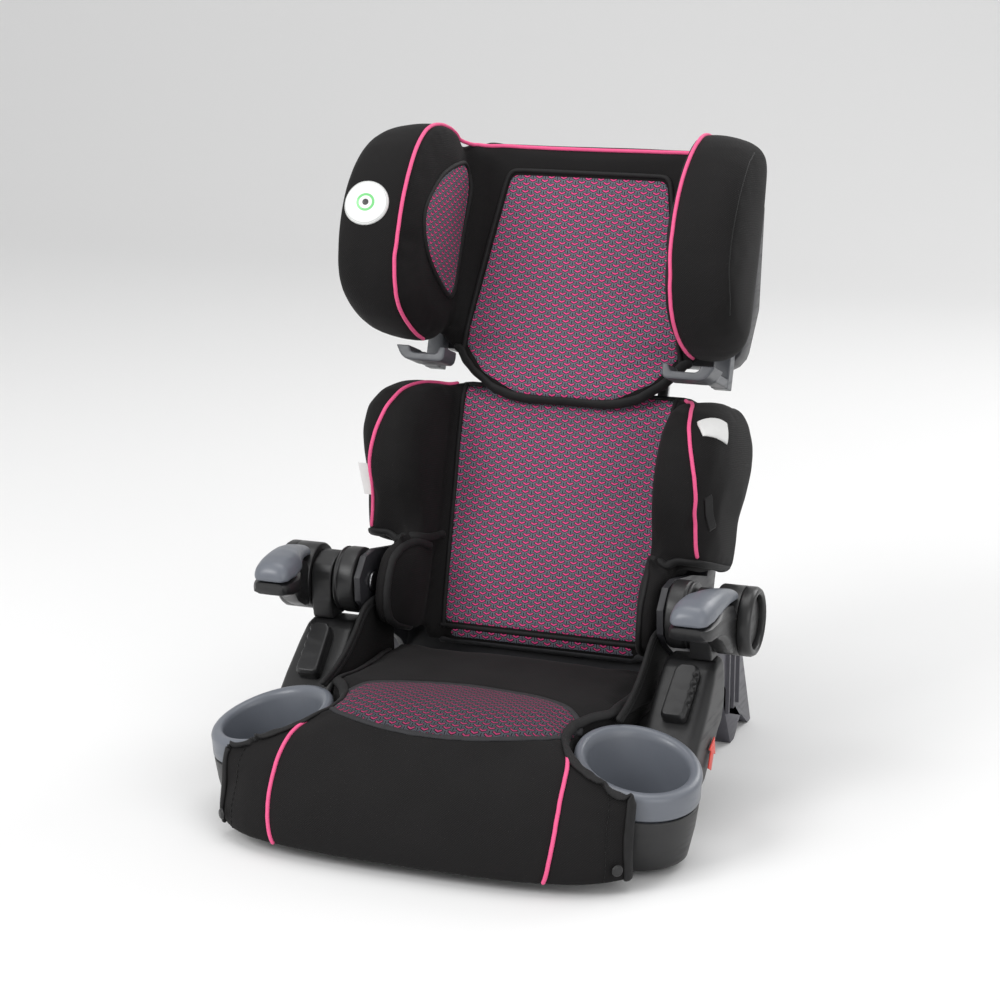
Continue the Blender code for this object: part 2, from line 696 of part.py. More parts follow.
def wing_ring(side, x, shrink):
    """The wing's outline at a distance x from the centre, drawn in towards its middle by shrink metres."""
    ring = []
    centre = Vector(WING_CENTRE)
    out = (x - 0.139) / 0.074  # 0 at the inner face, 1 at the outer face
    for point in smooth_loop(WING_KNOTS, 2):
        spoke = point - centre
        moved = centre + spoke * (1 - shrink / spoke.length)
        forward = max(0.0, -moved.y) / 0.08
        rearward = max(0.0, moved.y) / 0.09
        tuck = 0.050 * max(0.0, out) * rearward**1.3
        droop = 0.012 * max(0.0, out) * max(0.0, moved.x - centre.x) / 0.116
        ring.append(on_back(side * (x - tuck), moved.x - droop, moved.y - 0.018 * max(0.0, out) * forward))
    return ring


def head_wing(label, side):
    """Side wing of the head support: a thick pad with a rounded nose."""
    rings = [[on_back(side * 0.1330, *WING_CENTRE)]]
    for x, shrink in (
        (0.1330, 0.030), (0.1350, 0.008), (0.1420, 0.0), (0.1650, -0.003), (0.1900, -0.001),
        (0.2040, 0.005), (0.2110, 0.014), (0.2135, 0.028),
    ):
        rings.append(wing_ring(side, x, shrink))
    rings.append([on_back(side * HEAD_HALF, *WING_CENTRE)])
    add_object("head_wing_" + label, loft(rings, close_ends=False), "black_fabric", FOLD_PIVOT)


def head_pad():
    """Padded centre of the head support; its lower edge hangs over the top of the back in an arc."""
    rows = [
        # s, half width, n front, n rear
        (0.2000, 0.050, 0.0830, 0.0900),
        (0.2080, 0.080, 0.0815, 0.0915),
        (0.2260, 0.108, 0.0805, 0.0920),
        (0.2400, 0.122, 0.0800, 0.0930),
        (0.2480, 0.126, 0.0800, 0.1100),
        (0.3000, 0.130, 0.0800, 0.1160),
        (0.3800, 0.130, 0.0800, 0.1160),
        (0.4500, 0.130, 0.0790, 0.1160),
        (0.4780, 0.130, 0.0780, 0.1160),
        (0.4880, 0.128, 0.0830, 0.1130),
        (0.4910, 0.124, 0.0900, 0.1070),
    ]
    rings = []
    for s, half, front, rear in rows:
        loop = superellipse(24, half, (rear - front) / 2, 8.0, (0.0, (front + rear) / 2))
        rings.append([on_back(x, s, n) for x, n in loop])
    add_object("head_pad", loft(rings), "black_fabric", FOLD_PIVOT)


def head_shell():
    """Grey shell behind the head pad, open towards the rear."""
    corners = [
        (0.1720, 0.262, 0.025), (0.1800, 0.330, 0.040), (0.1720, 0.470, 0.035),
        (-0.1720, 0.470, 0.035), (-0.1800, 0.330, 0.040), (-0.1720, 0.262, 0.025),
    ]
    outline = rounded_outline(corners, 4)
    shell = add_object("head_shell", prism(outline, on_back, 0.1185, 0.1480), "grey_plastic", FOLD_PIVOT)
    inset = [(u * 0.975, 0.366 + (v - 0.366) * 0.955) for u, v in outline]
    combine(shell, cutter("shell_hollow", prism(inset, on_back, 0.1220, 0.1700)), "DIFFERENCE")


def head_carriage():
    """Rear carriage of the head support that rides on the rails, with ribbed side flanges."""
    corners = [
        (0.1660, 0.296, 0.006), (0.1660, 0.372, 0.010), (0.0600, 0.386, 0.012),
        (-0.0600, 0.386, 0.012), (-0.1660, 0.372, 0.010), (-0.1660, 0.296, 0.006),
    ]
    plate = prism(rounded_outline(corners, 3), on_back, 0.1560, 0.1720)
    carriage = add_object("head_carriage", plate, "grey_plastic", FOLD_PIVOT)
    for side in (-1, 1):
        flange = back_box((side * 0.1580 - 0.007, 0.300, 0.1485), (side * 0.1580 + 0.007, 0.368, 0.1600))
        combine(carriage, cutter(f"carriage_flange_{side}", flange), "UNION")


def head_stem():
    """Flat stem of the carriage that reaches down behind the back and carries the height pawl."""
    stem = back_box((-0.0240, 0.060, 0.1620), (0.0240, 0.2955, 0.1660))
    add_object("head_stem", stem, "grey_plastic", FOLD_PIVOT)


def height_pawl():
    """Pawl between the stem and the rack, drawn lifted just clear of the rack's teeth."""
    outline = [
        (0.074, 0.1615), (0.096, 0.1615), (0.096, 0.1595), (0.092, 0.1575), (0.086, 0.1575),
        (0.074, 0.1595),
    ]
    add_object("height_pawl", prism(outline, across_back, -0.0100, 0.0100), "steel", FOLD_PIVOT)


def height_lever():
    """Squeeze lever at the top of the head shell that frees the pawl."""
    corners = [(0.404, 0.156, 0.002), (0.404, 0.166, 0.004), (0.452, 0.172, 0.006), (0.452, 0.160, 0.004)]
    blade = prism(rounded_outline(corners, 3), across_back, -0.0450, 0.0450)
    add_object("height_lever", blade, "grey_plastic", on_back(0, 0.408, 0.160))


def lever_rod():
    """Steel rod from the lever to the pawl, along the rear of the stem."""
    place = lambda u, v, h: on_back(u, h, 0.1690 + v)
    profile = [(0.0, 0.078), (0.0020, 0.078), (0.0020, 0.2950), (0.0, 0.2950)]
    add_object("lever_rod", turned(profile, 12, place), "steel", FOLD_PIVOT)


def belt_guide(label, side):
    """Loop below the wing that the shoulder belt runs through, with a strut back to the head shell."""
    outer = rounded_outline(
        [(0.1180, 0.2500, 0.0), (0.1180, 0.2350, 0.006), (0.1640, 0.2350, 0.014), (0.1730, 0.2500, 0.0)], 5
    )
    place = lambda x, s, n: on_back(side * x, s, n)
    loop = prism(outer, place, 0.0250, 0.0600)
    guide = add_object("belt_guide_" + label, loop, "grey_plastic", FOLD_PIVOT)
    slot = rounded_outline(
        [(0.1150, 0.2700, 0.0), (0.1270, 0.2430, 0.003), (0.1560, 0.2430, 0.006), (0.1620, 0.2700, 0.0)], 4
    )
    combine(guide, cutter("guide_slot_" + label, prism(slot, place, 0.0, 0.1)), "DIFFERENCE")
    for index, (low, high) in enumerate((
        ((0.1505, 0.2385, 0.0550), (0.1675, 0.2480, 0.1120)),
        ((0.1500, 0.2380, 0.1000), (0.1680, 0.3000, 0.1170)),
    )):
        left, right = sorted((side * low[0], side * high[0]))
        strut = back_box((left, low[1], low[2]), (right, high[1], high[2]))
        combine(guide, cutter(f"guide_strut_{label}_{index}", strut), "UNION")


# ---------------------------------------------------------------- assembly
clear_scene()
base_shell()
base_floor_plate()
seat_cushion()
for build in (
    cup_holder, cup_base, upright, hub_bracket, release_handle, belt_arrow, cover_snap,
    fold_drum, hinge_pin, arm_body, arm_cap, hub_ring, hub_disc,
    side_flap, back_bolster, hip_pad, rear_leg, head_rail, head_wing, belt_guide,
):
    both_sides(build)
back_frame()
back_cushion()
height_rack()
head_pad()
head_shell()
head_carriage()
head_stem()
height_pawl()
height_lever()
lever_rod()
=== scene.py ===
"""Looks of a folding high-back booster: padded covers, piping, knitted panels and moulded plastics.

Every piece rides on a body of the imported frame. Lengths are in metres. Places on the back and the head
support are given in back coordinates (x, s, n): s runs up along the reclined back from the fold axis and
n runs rearwards.
"""

import json
from contextlib import contextmanager
from math import cos, radians, sin, tan, tau

import bmesh
import bpy
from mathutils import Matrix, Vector, noise
from mathutils.bvhtree import BVHTree
from mathutils.kdtree import KDTree

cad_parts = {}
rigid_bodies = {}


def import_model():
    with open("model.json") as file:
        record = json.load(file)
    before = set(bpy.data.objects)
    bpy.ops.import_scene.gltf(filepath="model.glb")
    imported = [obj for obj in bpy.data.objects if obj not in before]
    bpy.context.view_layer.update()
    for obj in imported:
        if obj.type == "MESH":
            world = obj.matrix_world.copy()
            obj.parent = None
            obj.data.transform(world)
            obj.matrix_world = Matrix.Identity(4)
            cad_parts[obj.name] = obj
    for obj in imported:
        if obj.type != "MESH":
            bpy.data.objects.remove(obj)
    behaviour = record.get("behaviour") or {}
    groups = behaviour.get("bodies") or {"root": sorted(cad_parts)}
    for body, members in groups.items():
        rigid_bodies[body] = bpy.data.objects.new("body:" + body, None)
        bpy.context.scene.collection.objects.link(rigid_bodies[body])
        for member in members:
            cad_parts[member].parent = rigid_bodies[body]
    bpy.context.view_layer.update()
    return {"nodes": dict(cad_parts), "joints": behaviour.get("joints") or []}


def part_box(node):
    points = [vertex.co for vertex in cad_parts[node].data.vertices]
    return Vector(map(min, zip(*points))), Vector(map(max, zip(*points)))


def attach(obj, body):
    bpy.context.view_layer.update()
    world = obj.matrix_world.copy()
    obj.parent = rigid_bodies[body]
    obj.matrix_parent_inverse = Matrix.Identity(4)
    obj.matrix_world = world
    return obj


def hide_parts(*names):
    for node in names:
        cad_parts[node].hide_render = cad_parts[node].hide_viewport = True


for leftover in list(bpy.data.objects):
    bpy.data.objects.remove(leftover, do_unlink=True)

SCENE = bpy.context.scene
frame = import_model()

JOINTS = {joint["name"]: joint for joint in frame["joints"]}
FOLD = Vector(JOINTS["back_fold"]["pos_m"])
UP_BACK = Vector(JOINTS["head_height"]["axis"]).normalized()
REARWARD = Vector((0.0, UP_BACK.z, -UP_BACK.y))
ACROSS = Vector((1.0, 0.0, 0.0))
DOWN = Vector((0.0, 0.0, -1.0))
SIDES = (("left", -1), ("right", 1))

WELD_WITHIN = 0.00001  # points nearer than this are joined
STATION_SPACING = 0.003  # between the stations of a cord or a seam
CURVE_STEPS = 16  # points worked out between two points of a smooth curve
OUTLINE_SPACING = 0.006  # between the points along an outline's long sides
PANEL_THICKNESS = 0.0012
PANEL_SINK = 0.0016  # how deep a panel's border goes into the cover
CLOTH_STEPS = 20  # frames over which a cover swells

# half width and half height of each cord, tape and roll of stuffing
PIPING = (0.002, 0.002)
WELT = (0.0022, 0.0022)
OVAL_WELT = (0.0034, 0.0017)
WING_WELT = (0.0026, 0.002)
WING_SEAM = (0.0007, 0.0005)
HEM_WELT = (0.0022, 0.0018)
HEM_BAND = (0.0042, 0.0022)
HEAD_HEM = (0.0056, 0.0032)
ARCH_BINDING = (0.0042, 0.0026)
HIP_BINDING = (0.004, 0.0024)
FLAP_BINDING = (0.003, 0.0026)
CUP_BINDING = (0.0052, 0.0026)
BOLSTER_FILLER = (0.011, 0.012)
HIP_FILLER = (0.007, 0.005)
WING_FILLER = (0.015, 0.012)

# a stitch's rings: share of its length, share of its radius, height over the cloth in radii
STITCH_RINGS = ((0.0, 0.45, -0.4), (0.2, 1.0, 0.5), (0.5, 1.15, 0.8), (0.8, 1.0, 0.5), (1.0, 0.45, -0.4))
STITCH_LENGTH, STITCH_GAP, STITCH_R = 0.003, 0.0016, 0.00042
STITCH_SIDES = 6
END_RINGS = ((0.15, 1.0), (0.7, 0.6))  # a cord's rounded end: share of its section, overhang in half heights

MIX_FACTOR, MIX_FIRST, MIX_SECOND, MIX_RESULT = 0, 6, 7, 2  # sockets of a mix node that mixes colours


def on_back(x, s, n):
    """World point of a point given in back coordinates."""
    return FOLD + ACROSS * x + UP_BACK * s + REARWARD * n


def back_coordinates(point):
    offset = point - FOLD
    return Vector((offset.x, offset.dot(UP_BACK), offset.dot(REARWARD)))


# ---- materials
class Look:
    """A procedural material, built round its Principled shader."""

    def __init__(self, name, colour, roughness, **shader_values):
        self.material = bpy.data.materials.new(name)
        self.material.use_nodes = True
        self.material.diffuse_color = (*colour, 1.0)
        self.tree = self.material.node_tree
        self.shader = self.tree.nodes["Principled BSDF"]
        self.shader.inputs["Base Color"].default_value = (*colour, 1.0)
        self.shader.inputs["Roughness"].default_value = roughness
        for socket, value in shader_values.items():
            self.shader.inputs[socket.replace("_", " ")].default_value = value

    def node(self, kind, inputs=None, **settings):
        made = self.tree.nodes.new("ShaderNode" + kind)
        for key, value in settings.items():
            setattr(made, key, value)
        for key, value in (inputs or {}).items():
            if isinstance(value, bpy.types.NodeSocket):
                self.tree.links.new(value, made.inputs[key])
            else:
                made.inputs[key].default_value = value
        return made

    def math(self, operation, *values):
        return self.node("Math", dict(enumerate(values)), operation=operation).outputs[0]

    def place(self):
        """Position on the piece at rest, in metres."""
        return self.node("TexCoord").outputs["Object"]

    def along(self, vector, direction):
        """How far a vector reaches along a direction."""
        made = self.node("VectorMath", {0: vector, 1: direction}, operation="DOT_PRODUCT")
        return made.outputs["Value"]

    def stretched(self, vector, scale):
        return self.node("Mapping", {"Vector": vector, "Scale": scale}).outputs[0]

    def cloth(self):
        """The (u, v) that a panel's cloth attribute holds."""
        return self.node("Attribute", attribute_name="cloth").outputs["Vector"]

    def wave(self, vector, direction, pitch):
        """A sine wave from 0 to 1 along a direction, one crest every pitch metres."""
        turns = self.math("MULTIPLY", self.along(vector, Vector(direction).normalized()), tau / pitch)
        return self.math("MULTIPLY_ADD", self.math("SINE", turns), 0.5, 0.5)

    def ridges(self, vector, direction, pitch):
        """A wave that fades where the surface faces along it, where its crests would draw contour rings."""
        normal = self.node("TexCoord").outputs["Normal"]
        facing = self.along(normal, Vector(direction).normalized())
        share = self.math("SUBTRACT", 1.0, self.math("ABSOLUTE", facing))
        return self.math("MULTIPLY", self.wave(vector, direction, pitch), self.ramp(share, 0.15, 0.55))

    def noise(self, size, detail=2.0, vector=None):
        """Noise from 0 to 1 whose features are about size metres across."""
        inputs = {"Vector": vector or self.place(), "Scale": 1.0 / size, "Detail": detail}
        return self.node("TexNoise", inputs).outputs["Fac"]

    def ramp(self, value, low, high):
        """0 below low, 1 above high."""
        inputs = {"Value": value, "From Min": low, "From Max": high}
        return self.node("MapRange", inputs).outputs["Result"]

    def band(self, value, centre, half):
        """1 where the value is within half of centre, else 0."""
        off = self.math("ABSOLUTE", self.math("SUBTRACT", value, centre))
        return self.math("LESS_THAN", off, half)

    def mix(self, factor, first, second):
        made = self.node("Mix", data_type="RGBA")
        for index, value in ((MIX_FACTOR, factor), (MIX_FIRST, first), (MIX_SECOND, second)):
            if isinstance(value, bpy.types.NodeSocket):
                self.tree.links.new(value, made.inputs[index])
            else:
                made.inputs[index].default_value = value if index == MIX_FACTOR else (*value, 1.0)
        return made.outputs[MIX_RESULT]

    def colour(self, value):
        self.tree.links.new(value, self.shader.inputs["Base Color"])

    def roughness(self, value):
        self.tree.links.new(value, self.shader.inputs["Roughness"])

    def bump(self, height, depth, strength=1.0):
        inputs = {"Height": height, "Distance": depth, "Strength": strength}
        made = self.node("Bump", inputs)
        self.tree.links.new(made.outputs["Normal"], self.shader.inputs["Normal"])


def scaled(colour, share):
    return tuple(channel * share for channel in colour)


def twill(name, colour, pitch=0.0017, roughness=0.88):
    """Woven polyester: diagonal ridges broken by cross threads, slightly fuzzy, a little faded in places."""
    look = Look(name, colour, roughness, Sheen_Weight=0.03, Sheen_Roughness=0.4, Specular_IOR_Level=0.22)
    place = look.place()
    ridge = look.ridges(place, (-1.0, 0.2, 1.0), pitch)
    thread = look.ridges(place, (1.0, 0.2, 1.0), pitch * 0.55)
    fuzz = look.noise(0.0009, 3.0, place)
    fade = look.noise(0.055, 3.0, place)
    height = look.math("ADD", look.math("MULTIPLY", ridge, 0.7), look.math("MULTIPLY", thread, 0.3))
    height = look.math("MULTIPLY_ADD", fuzz, 0.35, height)
    woven = look.mix(look.ramp(height, 0.25, 1.05), scaled(colour, 0.62), scaled(colour, 1.45))
    look.colour(look.mix(look.ramp(fade, 0.35, 0.75), woven, scaled(colour, 1.25)))
    look.bump(height, 0.00035, 0.6)
    return look.material


def tape(name, colour, roughness=0.7):
    """Bound edges and welts: smooth tape with fine ribs."""
    look = Look(name, colour, roughness, Sheen_Weight=0.03, Sheen_Roughness=0.35, Specular_IOR_Level=0.3)
    place = look.place()
    rib = look.wave(place, (1.0, 1.0, 1.0), 0.0011)
    soft = look.noise(0.006, 3.0, place)
    look.colour(look.mix(soft, scaled(colour, 0.7), scaled(colour, 1.5)))
    look.bump(look.math("MULTIPLY_ADD", soft, 1.5, rib), 0.00018, 0.5)
    return look.material


def knit(name, share=1.0):
    """Two-layer knitted mesh: staggered bright chevrons over grey strands, with dark gaps between them. A share
    below 1 darkens every colour, which paints shade on a copy of the knit.
    """
    ground, shade = scaled((0.128, 0.12, 0.158), share), scaled((0.012, 0.013, 0.018), share)
    strand, bright = scaled((0.17, 0.19, 0.23), share), scaled((0.85, 0.075, 0.27), share)
    look = Look(name, ground, 0.75, Sheen_Weight=0.03, Sheen_Roughness=0.4, Specular_IOR_Level=0.25)
    cloth = look.cloth()
    split = look.node("SeparateXYZ", {0: cloth}).outputs
    across, along = 0.0137, 0.0082  # repeat of a set of chevrons; a second set lies half way between
    tip, slope = 0.0016, 0.46  # place of the tip, and how steeply the arms fall from it
    arm, stroke = 0.0034, 0.00078  # length and half thickness of the arms
    masks = []
    for shift in (0.0, 0.5):
        u = look.math("MULTIPLY_ADD", split[0], 1.0 / across, shift)
        v = look.math("MULTIPLY_ADD", split[1], 1.0 / along, shift)
        u = look.math("MULTIPLY", look.math("SUBTRACT", look.math("FRACT", u), 0.5), across)
        v = look.math("MULTIPLY", look.math("SUBTRACT", look.math("FRACT", v), 0.5), along)
        side = look.math("ABSOLUTE", u)
        height = look.math("SUBTRACT", look.math("SUBTRACT", v, tip), look.math("MULTIPLY", side, slope))

        def stripe(centre, half, reach, height=height, side=side):
            inside = look.band(height, centre, half)
            return look.math("MULTIPLY", inside, look.math("LESS_THAN", side, reach))

        def upright(inside, low, height=height):
            return look.math("MULTIPLY", inside, look.math("LESS_THAN", height, low))

        stem = upright(look.band(side, 0.0011, 0.00035), -0.0022)
        core = upright(look.math("LESS_THAN", side, 0.00045), -0.0026)
        masks.append({
            "bright": stripe(0.0, stroke, arm),
            "shade": look.math("MAXIMUM", stripe(-0.0002, 0.0015, arm + 0.0007), core),
            "strand": look.math("MAXIMUM", stripe(-0.0023, 0.00045, arm + 0.0012), stem),
        })
    both = {key: look.math("MAXIMUM", masks[0][key], masks[1][key]) for key in masks[0]}
    tone = look.noise(0.0011, 2.0, cloth)
    base = look.mix(look.ramp(tone, 0.35, 0.7), scaled(ground, 0.55), scaled(ground, 1.25))
    base = look.mix(both["strand"], base, strand)
    base = look.mix(both["shade"], base, shade)
    look.colour(look.mix(both["bright"], base, bright))
    height = look.math("MULTIPLY_ADD", both["strand"], 0.5, look.math("MULTIPLY", tone, 0.5))
    height = look.math("SUBTRACT", height, look.math("MULTIPLY", both["shade"], 0.6))
    look.bump(look.math("MULTIPLY_ADD", both["bright"], 1.3, height), 0.0006, 0.7)
    return look.material


def cord_cover(name, colour):
    """Bright woven cover of the piping cord."""
    look = Look(name, colour, 0.62, Sheen_Weight=0.05, Sheen_Roughness=0.4, Specular_IOR_Level=0.3)
    place = look.place()
    weave = look.wave(place, (0.6, 1.0, 1.0), 0.0012)
    soft = look.noise(0.004, 2.0, place)
    look.colour(look.mix(soft, scaled(colour, 0.86), scaled(colour, 1.06)))
    look.bump(weave, 0.00015, 0.5)
    return look.material


def moulded(name, colour, roughness, grain=0.0007, depth=0.00006):
    """Injection-moulded plastic: fine spark grain, faint flow clouds, light scuffs and paler worn edges."""
    look = Look(name, colour, roughness, Specular_IOR_Level=0.5)
    place = look.place()
    spark = look.noise(grain, 3.0, place)
    cloud = look.noise(0.06, 3.0, place)
    scuff = look.noise(0.012, 6.0, look.stretched(place, (1.0, 0.25, 2.5)))
    worn = look.ramp(look.node("NewGeometry").outputs["Pointiness"], 0.53, 0.62)
    body = look.mix(cloud, scaled(colour, 0.88), scaled(colour, 1.12))
    look.colour(look.mix(look.math("MULTIPLY", worn, 0.35), body, tuple(0.7 * c + 0.05 for c in colour)))
    rough = look.math("MULTIPLY_ADD", look.ramp(scuff, 0.5, 0.75), 0.14, roughness - 0.05)
    look.roughness(look.math("MULTIPLY_ADD", spark, 0.06, rough))
    look.bump(look.math("MULTIPLY_ADD", scuff, 0.25, spark), depth, 0.5)
    return look.material


def steel(name):
    """Drawn steel, brushed along its length."""
    look = Look(name, (0.52, 0.52, 0.54), 0.3, Metallic=1.0)
    brushed = look.noise(0.004, 4.0, look.stretched(look.place(), (1.0, 0.06, 0.06)))
    look.colour(look.mix(brushed, (0.42, 0.42, 0.44), (0.62, 0.62, 0.63)))
    look.roughness(look.math("MULTIPLY_ADD", brushed, 0.25, 0.18))
    look.bump(brushed, 0.00004, 0.4)
    return look.material


def label_cloth(name, colour):
    """Fine woven label tape."""
    look = Look(name, colour, 0.6, Specular_IOR_Level=0.35)
    place = look.place()
    weave = look.wave(place, (1.0, 0.0, 1.0), 0.0008)
    look.colour(look.mix(look.noise(0.01, 3.0, place), scaled(colour, 0.9), colour))
    look.bump(weave, 0.00008, 0.4)
    return look.material


def sticker_face(name, radius):
    """A plain round sticker: white, with a pale green ring round a dark dot."""
    look = Look(name, (0.86, 0.87, 0.86), 0.3, Coat_Weight=0.2)
    out = look.node("VectorMath", {0: look.cloth()}, operation="LENGTH").outputs["Value"]

    def ring(centre, half):
        """The ring at a share of the sticker's radius, half a share wide to each side."""
        return look.band(out, centre * radius, half * radius)

    paper = look.mix(look.noise(0.012, 2.0), (0.80, 0.81, 0.80), (0.88, 0.89, 0.88))
    paper = look.mix(ring(0.90, 0.015), paper, (0.55, 0.57, 0.56))
    paper = look.mix(ring(0.34, 0.055), paper, (0.17, 0.60, 0.20))
    look.colour(look.mix(ring(0.0, 0.14), paper, (0.03, 0.03, 0.03)))
    look.bump(look.noise(0.002, 2.0), 0.00004, 0.3)
    return look.material


BLACK_CLOTH = twill("black_twill", (0.0086, 0.008, 0.0082))
BLACK_TAPE = tape("black_tape", (0.011, 0.0108, 0.0112))
GREY_TAPE = tape("charcoal_tape", (0.024, 0.024, 0.0265))
THREAD = tape("black_thread", (0.0075, 0.0075, 0.0075), 0.6)
KNIT = knit("chevron_knit")
# painted shade: the seat's knit is the back's knit with every colour darkened to 0.40, standing in for the
# weaker light on the level seat
SHADED_SEAT_KNIT = knit("chevron_knit_seat", 0.40)
PINK = cord_cover("pink_piping", (0.88, 0.112, 0.285))
BLACK_PLASTIC = moulded("black_moulded", (0.014, 0.014, 0.0146), 0.42)
GLOSS_BLACK = moulded("black_moulded_smooth", (0.0125, 0.0125, 0.013), 0.36, depth=0.000008)
GREY_PLASTIC = moulded("grey_moulded", (0.138, 0.15, 0.174), 0.34, depth=0.00004)
MID_GREY_PLASTIC = moulded("mid_grey_moulded", (0.088, 0.093, 0.103), 0.38, depth=0.00004)
CHARCOAL_PLASTIC = moulded("black_grey_moulded", (0.022, 0.022, 0.0255), 0.42)
DARK_PLASTIC = moulded("charcoal_moulded", (0.062, 0.06, 0.074), 0.42)
RED_PLASTIC = moulded("red_moulded", (0.78, 0.052, 0.032), 0.40)
STEEL = steel("brushed_steel")
WHITE_LABEL = label_cloth("white_label", (0.78, 0.78, 0.77))
STICKER_R = 0.0235
STICKER = sticker_face("round_sticker", STICKER_R)


# ---- mesh helpers
def placed(name, data):
    """A new object in the scene that holds a mesh, a light or a camera."""
    obj = bpy.data.objects.new(name, data)
    SCENE.collection.objects.link(obj)
    return obj


def link_mesh(name, vertices, faces, material, smooth=True):
    mesh = bpy.data.meshes.new(name)
    mesh.from_pydata([tuple(vertex) for vertex in vertices], [], faces)
    mesh.materials.append(material)
    if smooth:
        mesh.shade_smooth()
    return placed(name, mesh)


@contextmanager
def opened(obj):
    """The piece's mesh open for editing; what was changed is kept at the end."""
    skin = bmesh.new()
    skin.from_mesh(obj.data)
    yield skin
    skin.to_mesh(obj.data)
    skin.free()


def face_outward(obj):
    with opened(obj) as skin:
        bmesh.ops.recalc_face_normals(skin, faces=skin.faces)


def kept(skin, name, material):
    """A new piece from a mesh that was open for editing."""
    mesh = bpy.data.meshes.new(name)
    skin.to_mesh(mesh)
    skin.free()
    mesh.materials.clear()
    mesh.materials.append(material)
    return placed(name, mesh)


def welded_copy(name, node, material):
    """A new piece with a CAD node's shape, its coincident points joined."""
    skin = bmesh.new()
    skin.from_mesh(frame["nodes"][node].data)
    bmesh.ops.remove_doubles(skin, verts=skin.verts, dist=WELD_WITHIN)
    return kept(skin, name, material)


def settle(obj):
    """Makes the modifiers' result the piece's own mesh."""
    graph = bpy.context.evaluated_depsgraph_get()
    mesh = bpy.data.meshes.new_from_object(obj.evaluated_get(graph))
    obj.modifiers.clear()
    obj.data = mesh


def modified(obj, kind, **settings):
    """The piece after one modifier."""
    modifier = obj.modifiers.new(kind, kind)
    for key, value in settings.items():
        setattr(modifier, key, value)
    settle(obj)
    return obj


def remesh(obj, voxel):
    modified(obj, "REMESH", mode="VOXEL", voxel_size=voxel, use_smooth_shade=True)


def relax(obj, rounds):
    """Evens the surface out, a little more with each round."""
    with opened(obj) as skin:
        for _ in range(rounds):
            bmesh.ops.smooth_vert(
                skin, verts=skin.verts, factor=0.5, use_axis_x=True, use_axis_y=True, use_axis_z=True,
            )


def show(obj, body, slot, *stands_for):
    """The piece rides on a body and may stand for CAD nodes, which are hidden; slot is not used."""
    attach(obj, body)
    if stands_for:
        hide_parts(*stands_for)
    return obj


def fabric(obj, body):
    """Sewn trim and cloth panels that stand for no CAD node."""
    return show(obj, body, "black_fabric")


def mirrored(obj, name):
    """A copy of the piece on the other side of the centre plane."""
    copy = placed(name, obj.data.copy())
    with opened(copy) as skin:
        for vertex in skin.verts:
            vertex.co.x = -vertex.co.x
        bmesh.ops.reverse_faces(skin, faces=skin.faces)
    return copy


def swell(obj, pressure, cap, held):
    """Inflates the piece as cloth; points where held(point) is true stay put, none moves further than cap."""
    rest = [vertex.co.copy() for vertex in obj.data.vertices]
    pinned = [index for index, point in enumerate(rest) if held(point)]
    obj.vertex_groups.new(name="held").add(pinned, 1.0, "REPLACE")
    cloth = obj.modifiers.new("cloth", "CLOTH")
    cloth.settings.use_pressure = True
    cloth.settings.uniform_pressure_force = pressure
    cloth.settings.vertex_group_mass = "held"
    cloth.settings.effector_weights.gravity = 0.0
    cloth.settings.quality = 5
    cloth.point_cache.frame_start = 1
    cloth.point_cache.frame_end = CLOTH_STEPS
    for step in range(1, CLOTH_STEPS + 1):
        SCENE.frame_set(step)
    settle(obj)
    for vertex, start in zip(obj.data.vertices, rest):
        move = vertex.co - start
        if move.length > cap:
            vertex.co = start + move * (cap / move.length)
    SCENE.frame_set(1)


def push(obj, amount_at):
    """Moves each point along its normal by amount_at(point); the normals are read before anything moves."""
    vertices = obj.data.vertices
    moves = [(vertex.normal.copy(), amount_at(vertex.co)) for vertex in vertices]
    for vertex, (normal, amount) in zip(vertices, moves):
        vertex.co += normal * amount
    obj.data.update()


def ripple(obj, height, size):
    """Slow unevenness of stuffed cloth."""
    push(obj, lambda point: height * noise.noise(point / size))


def merged(name, pieces, material):
    """One mesh made of several pieces, which are used up."""
    skin = bmesh.new()
    for piece in pieces:
        skin.from_mesh(piece.data)
        bpy.data.objects.remove(piece, do_unlink=True)
    return kept(skin, name, material)


def padded(name, nodes, material, held, fillers=(), voxel=0.005, shrink=0.0022, cap=0.005, pressure=4.0):
    """One stuffed cover over CAD solids and fillers: drawn in a little, swollen as cloth, then smoothed.
"""
    solids = [welded_copy("stuffing", node, material) for node in nodes]
    obj = merged(name, [*solids, *fillers], material)
    remesh(obj, voxel)
    relax(obj, 3)
    push(obj, lambda point: -shrink)
    swell(obj, pressure, cap, held)
    relax(obj, 2)
    modified(obj, "SUBSURF", levels=1, render_levels=1)
    obj.data.shade_smooth()
    return obj


class Surface:
    """The outside of finished pieces, for laying trim on."""

    def __init__(self, *objs):
        vertices, polygons = [], []
        for obj in objs:
            first = len(vertices)
            vertices += [vertex.co.copy() for vertex in obj.data.vertices]
            polygons += [[first + index for index in polygon.vertices] for polygon in obj.data.polygons]
        self.tree = BVHTree.FromPolygons(vertices, polygons)

    def nearest(self, point):
        place, normal, _, _ = self.tree.find_nearest(point)
        return place, normal

    def seen(self, point, direction, run_up=0.06):
        """Where a line through the point first meets the surface, coming from in front of it."""
        place, normal, _, _ = self.tree.ray_cast(point - direction * run_up, direction)
        return (place, normal) if place else self.nearest(point)


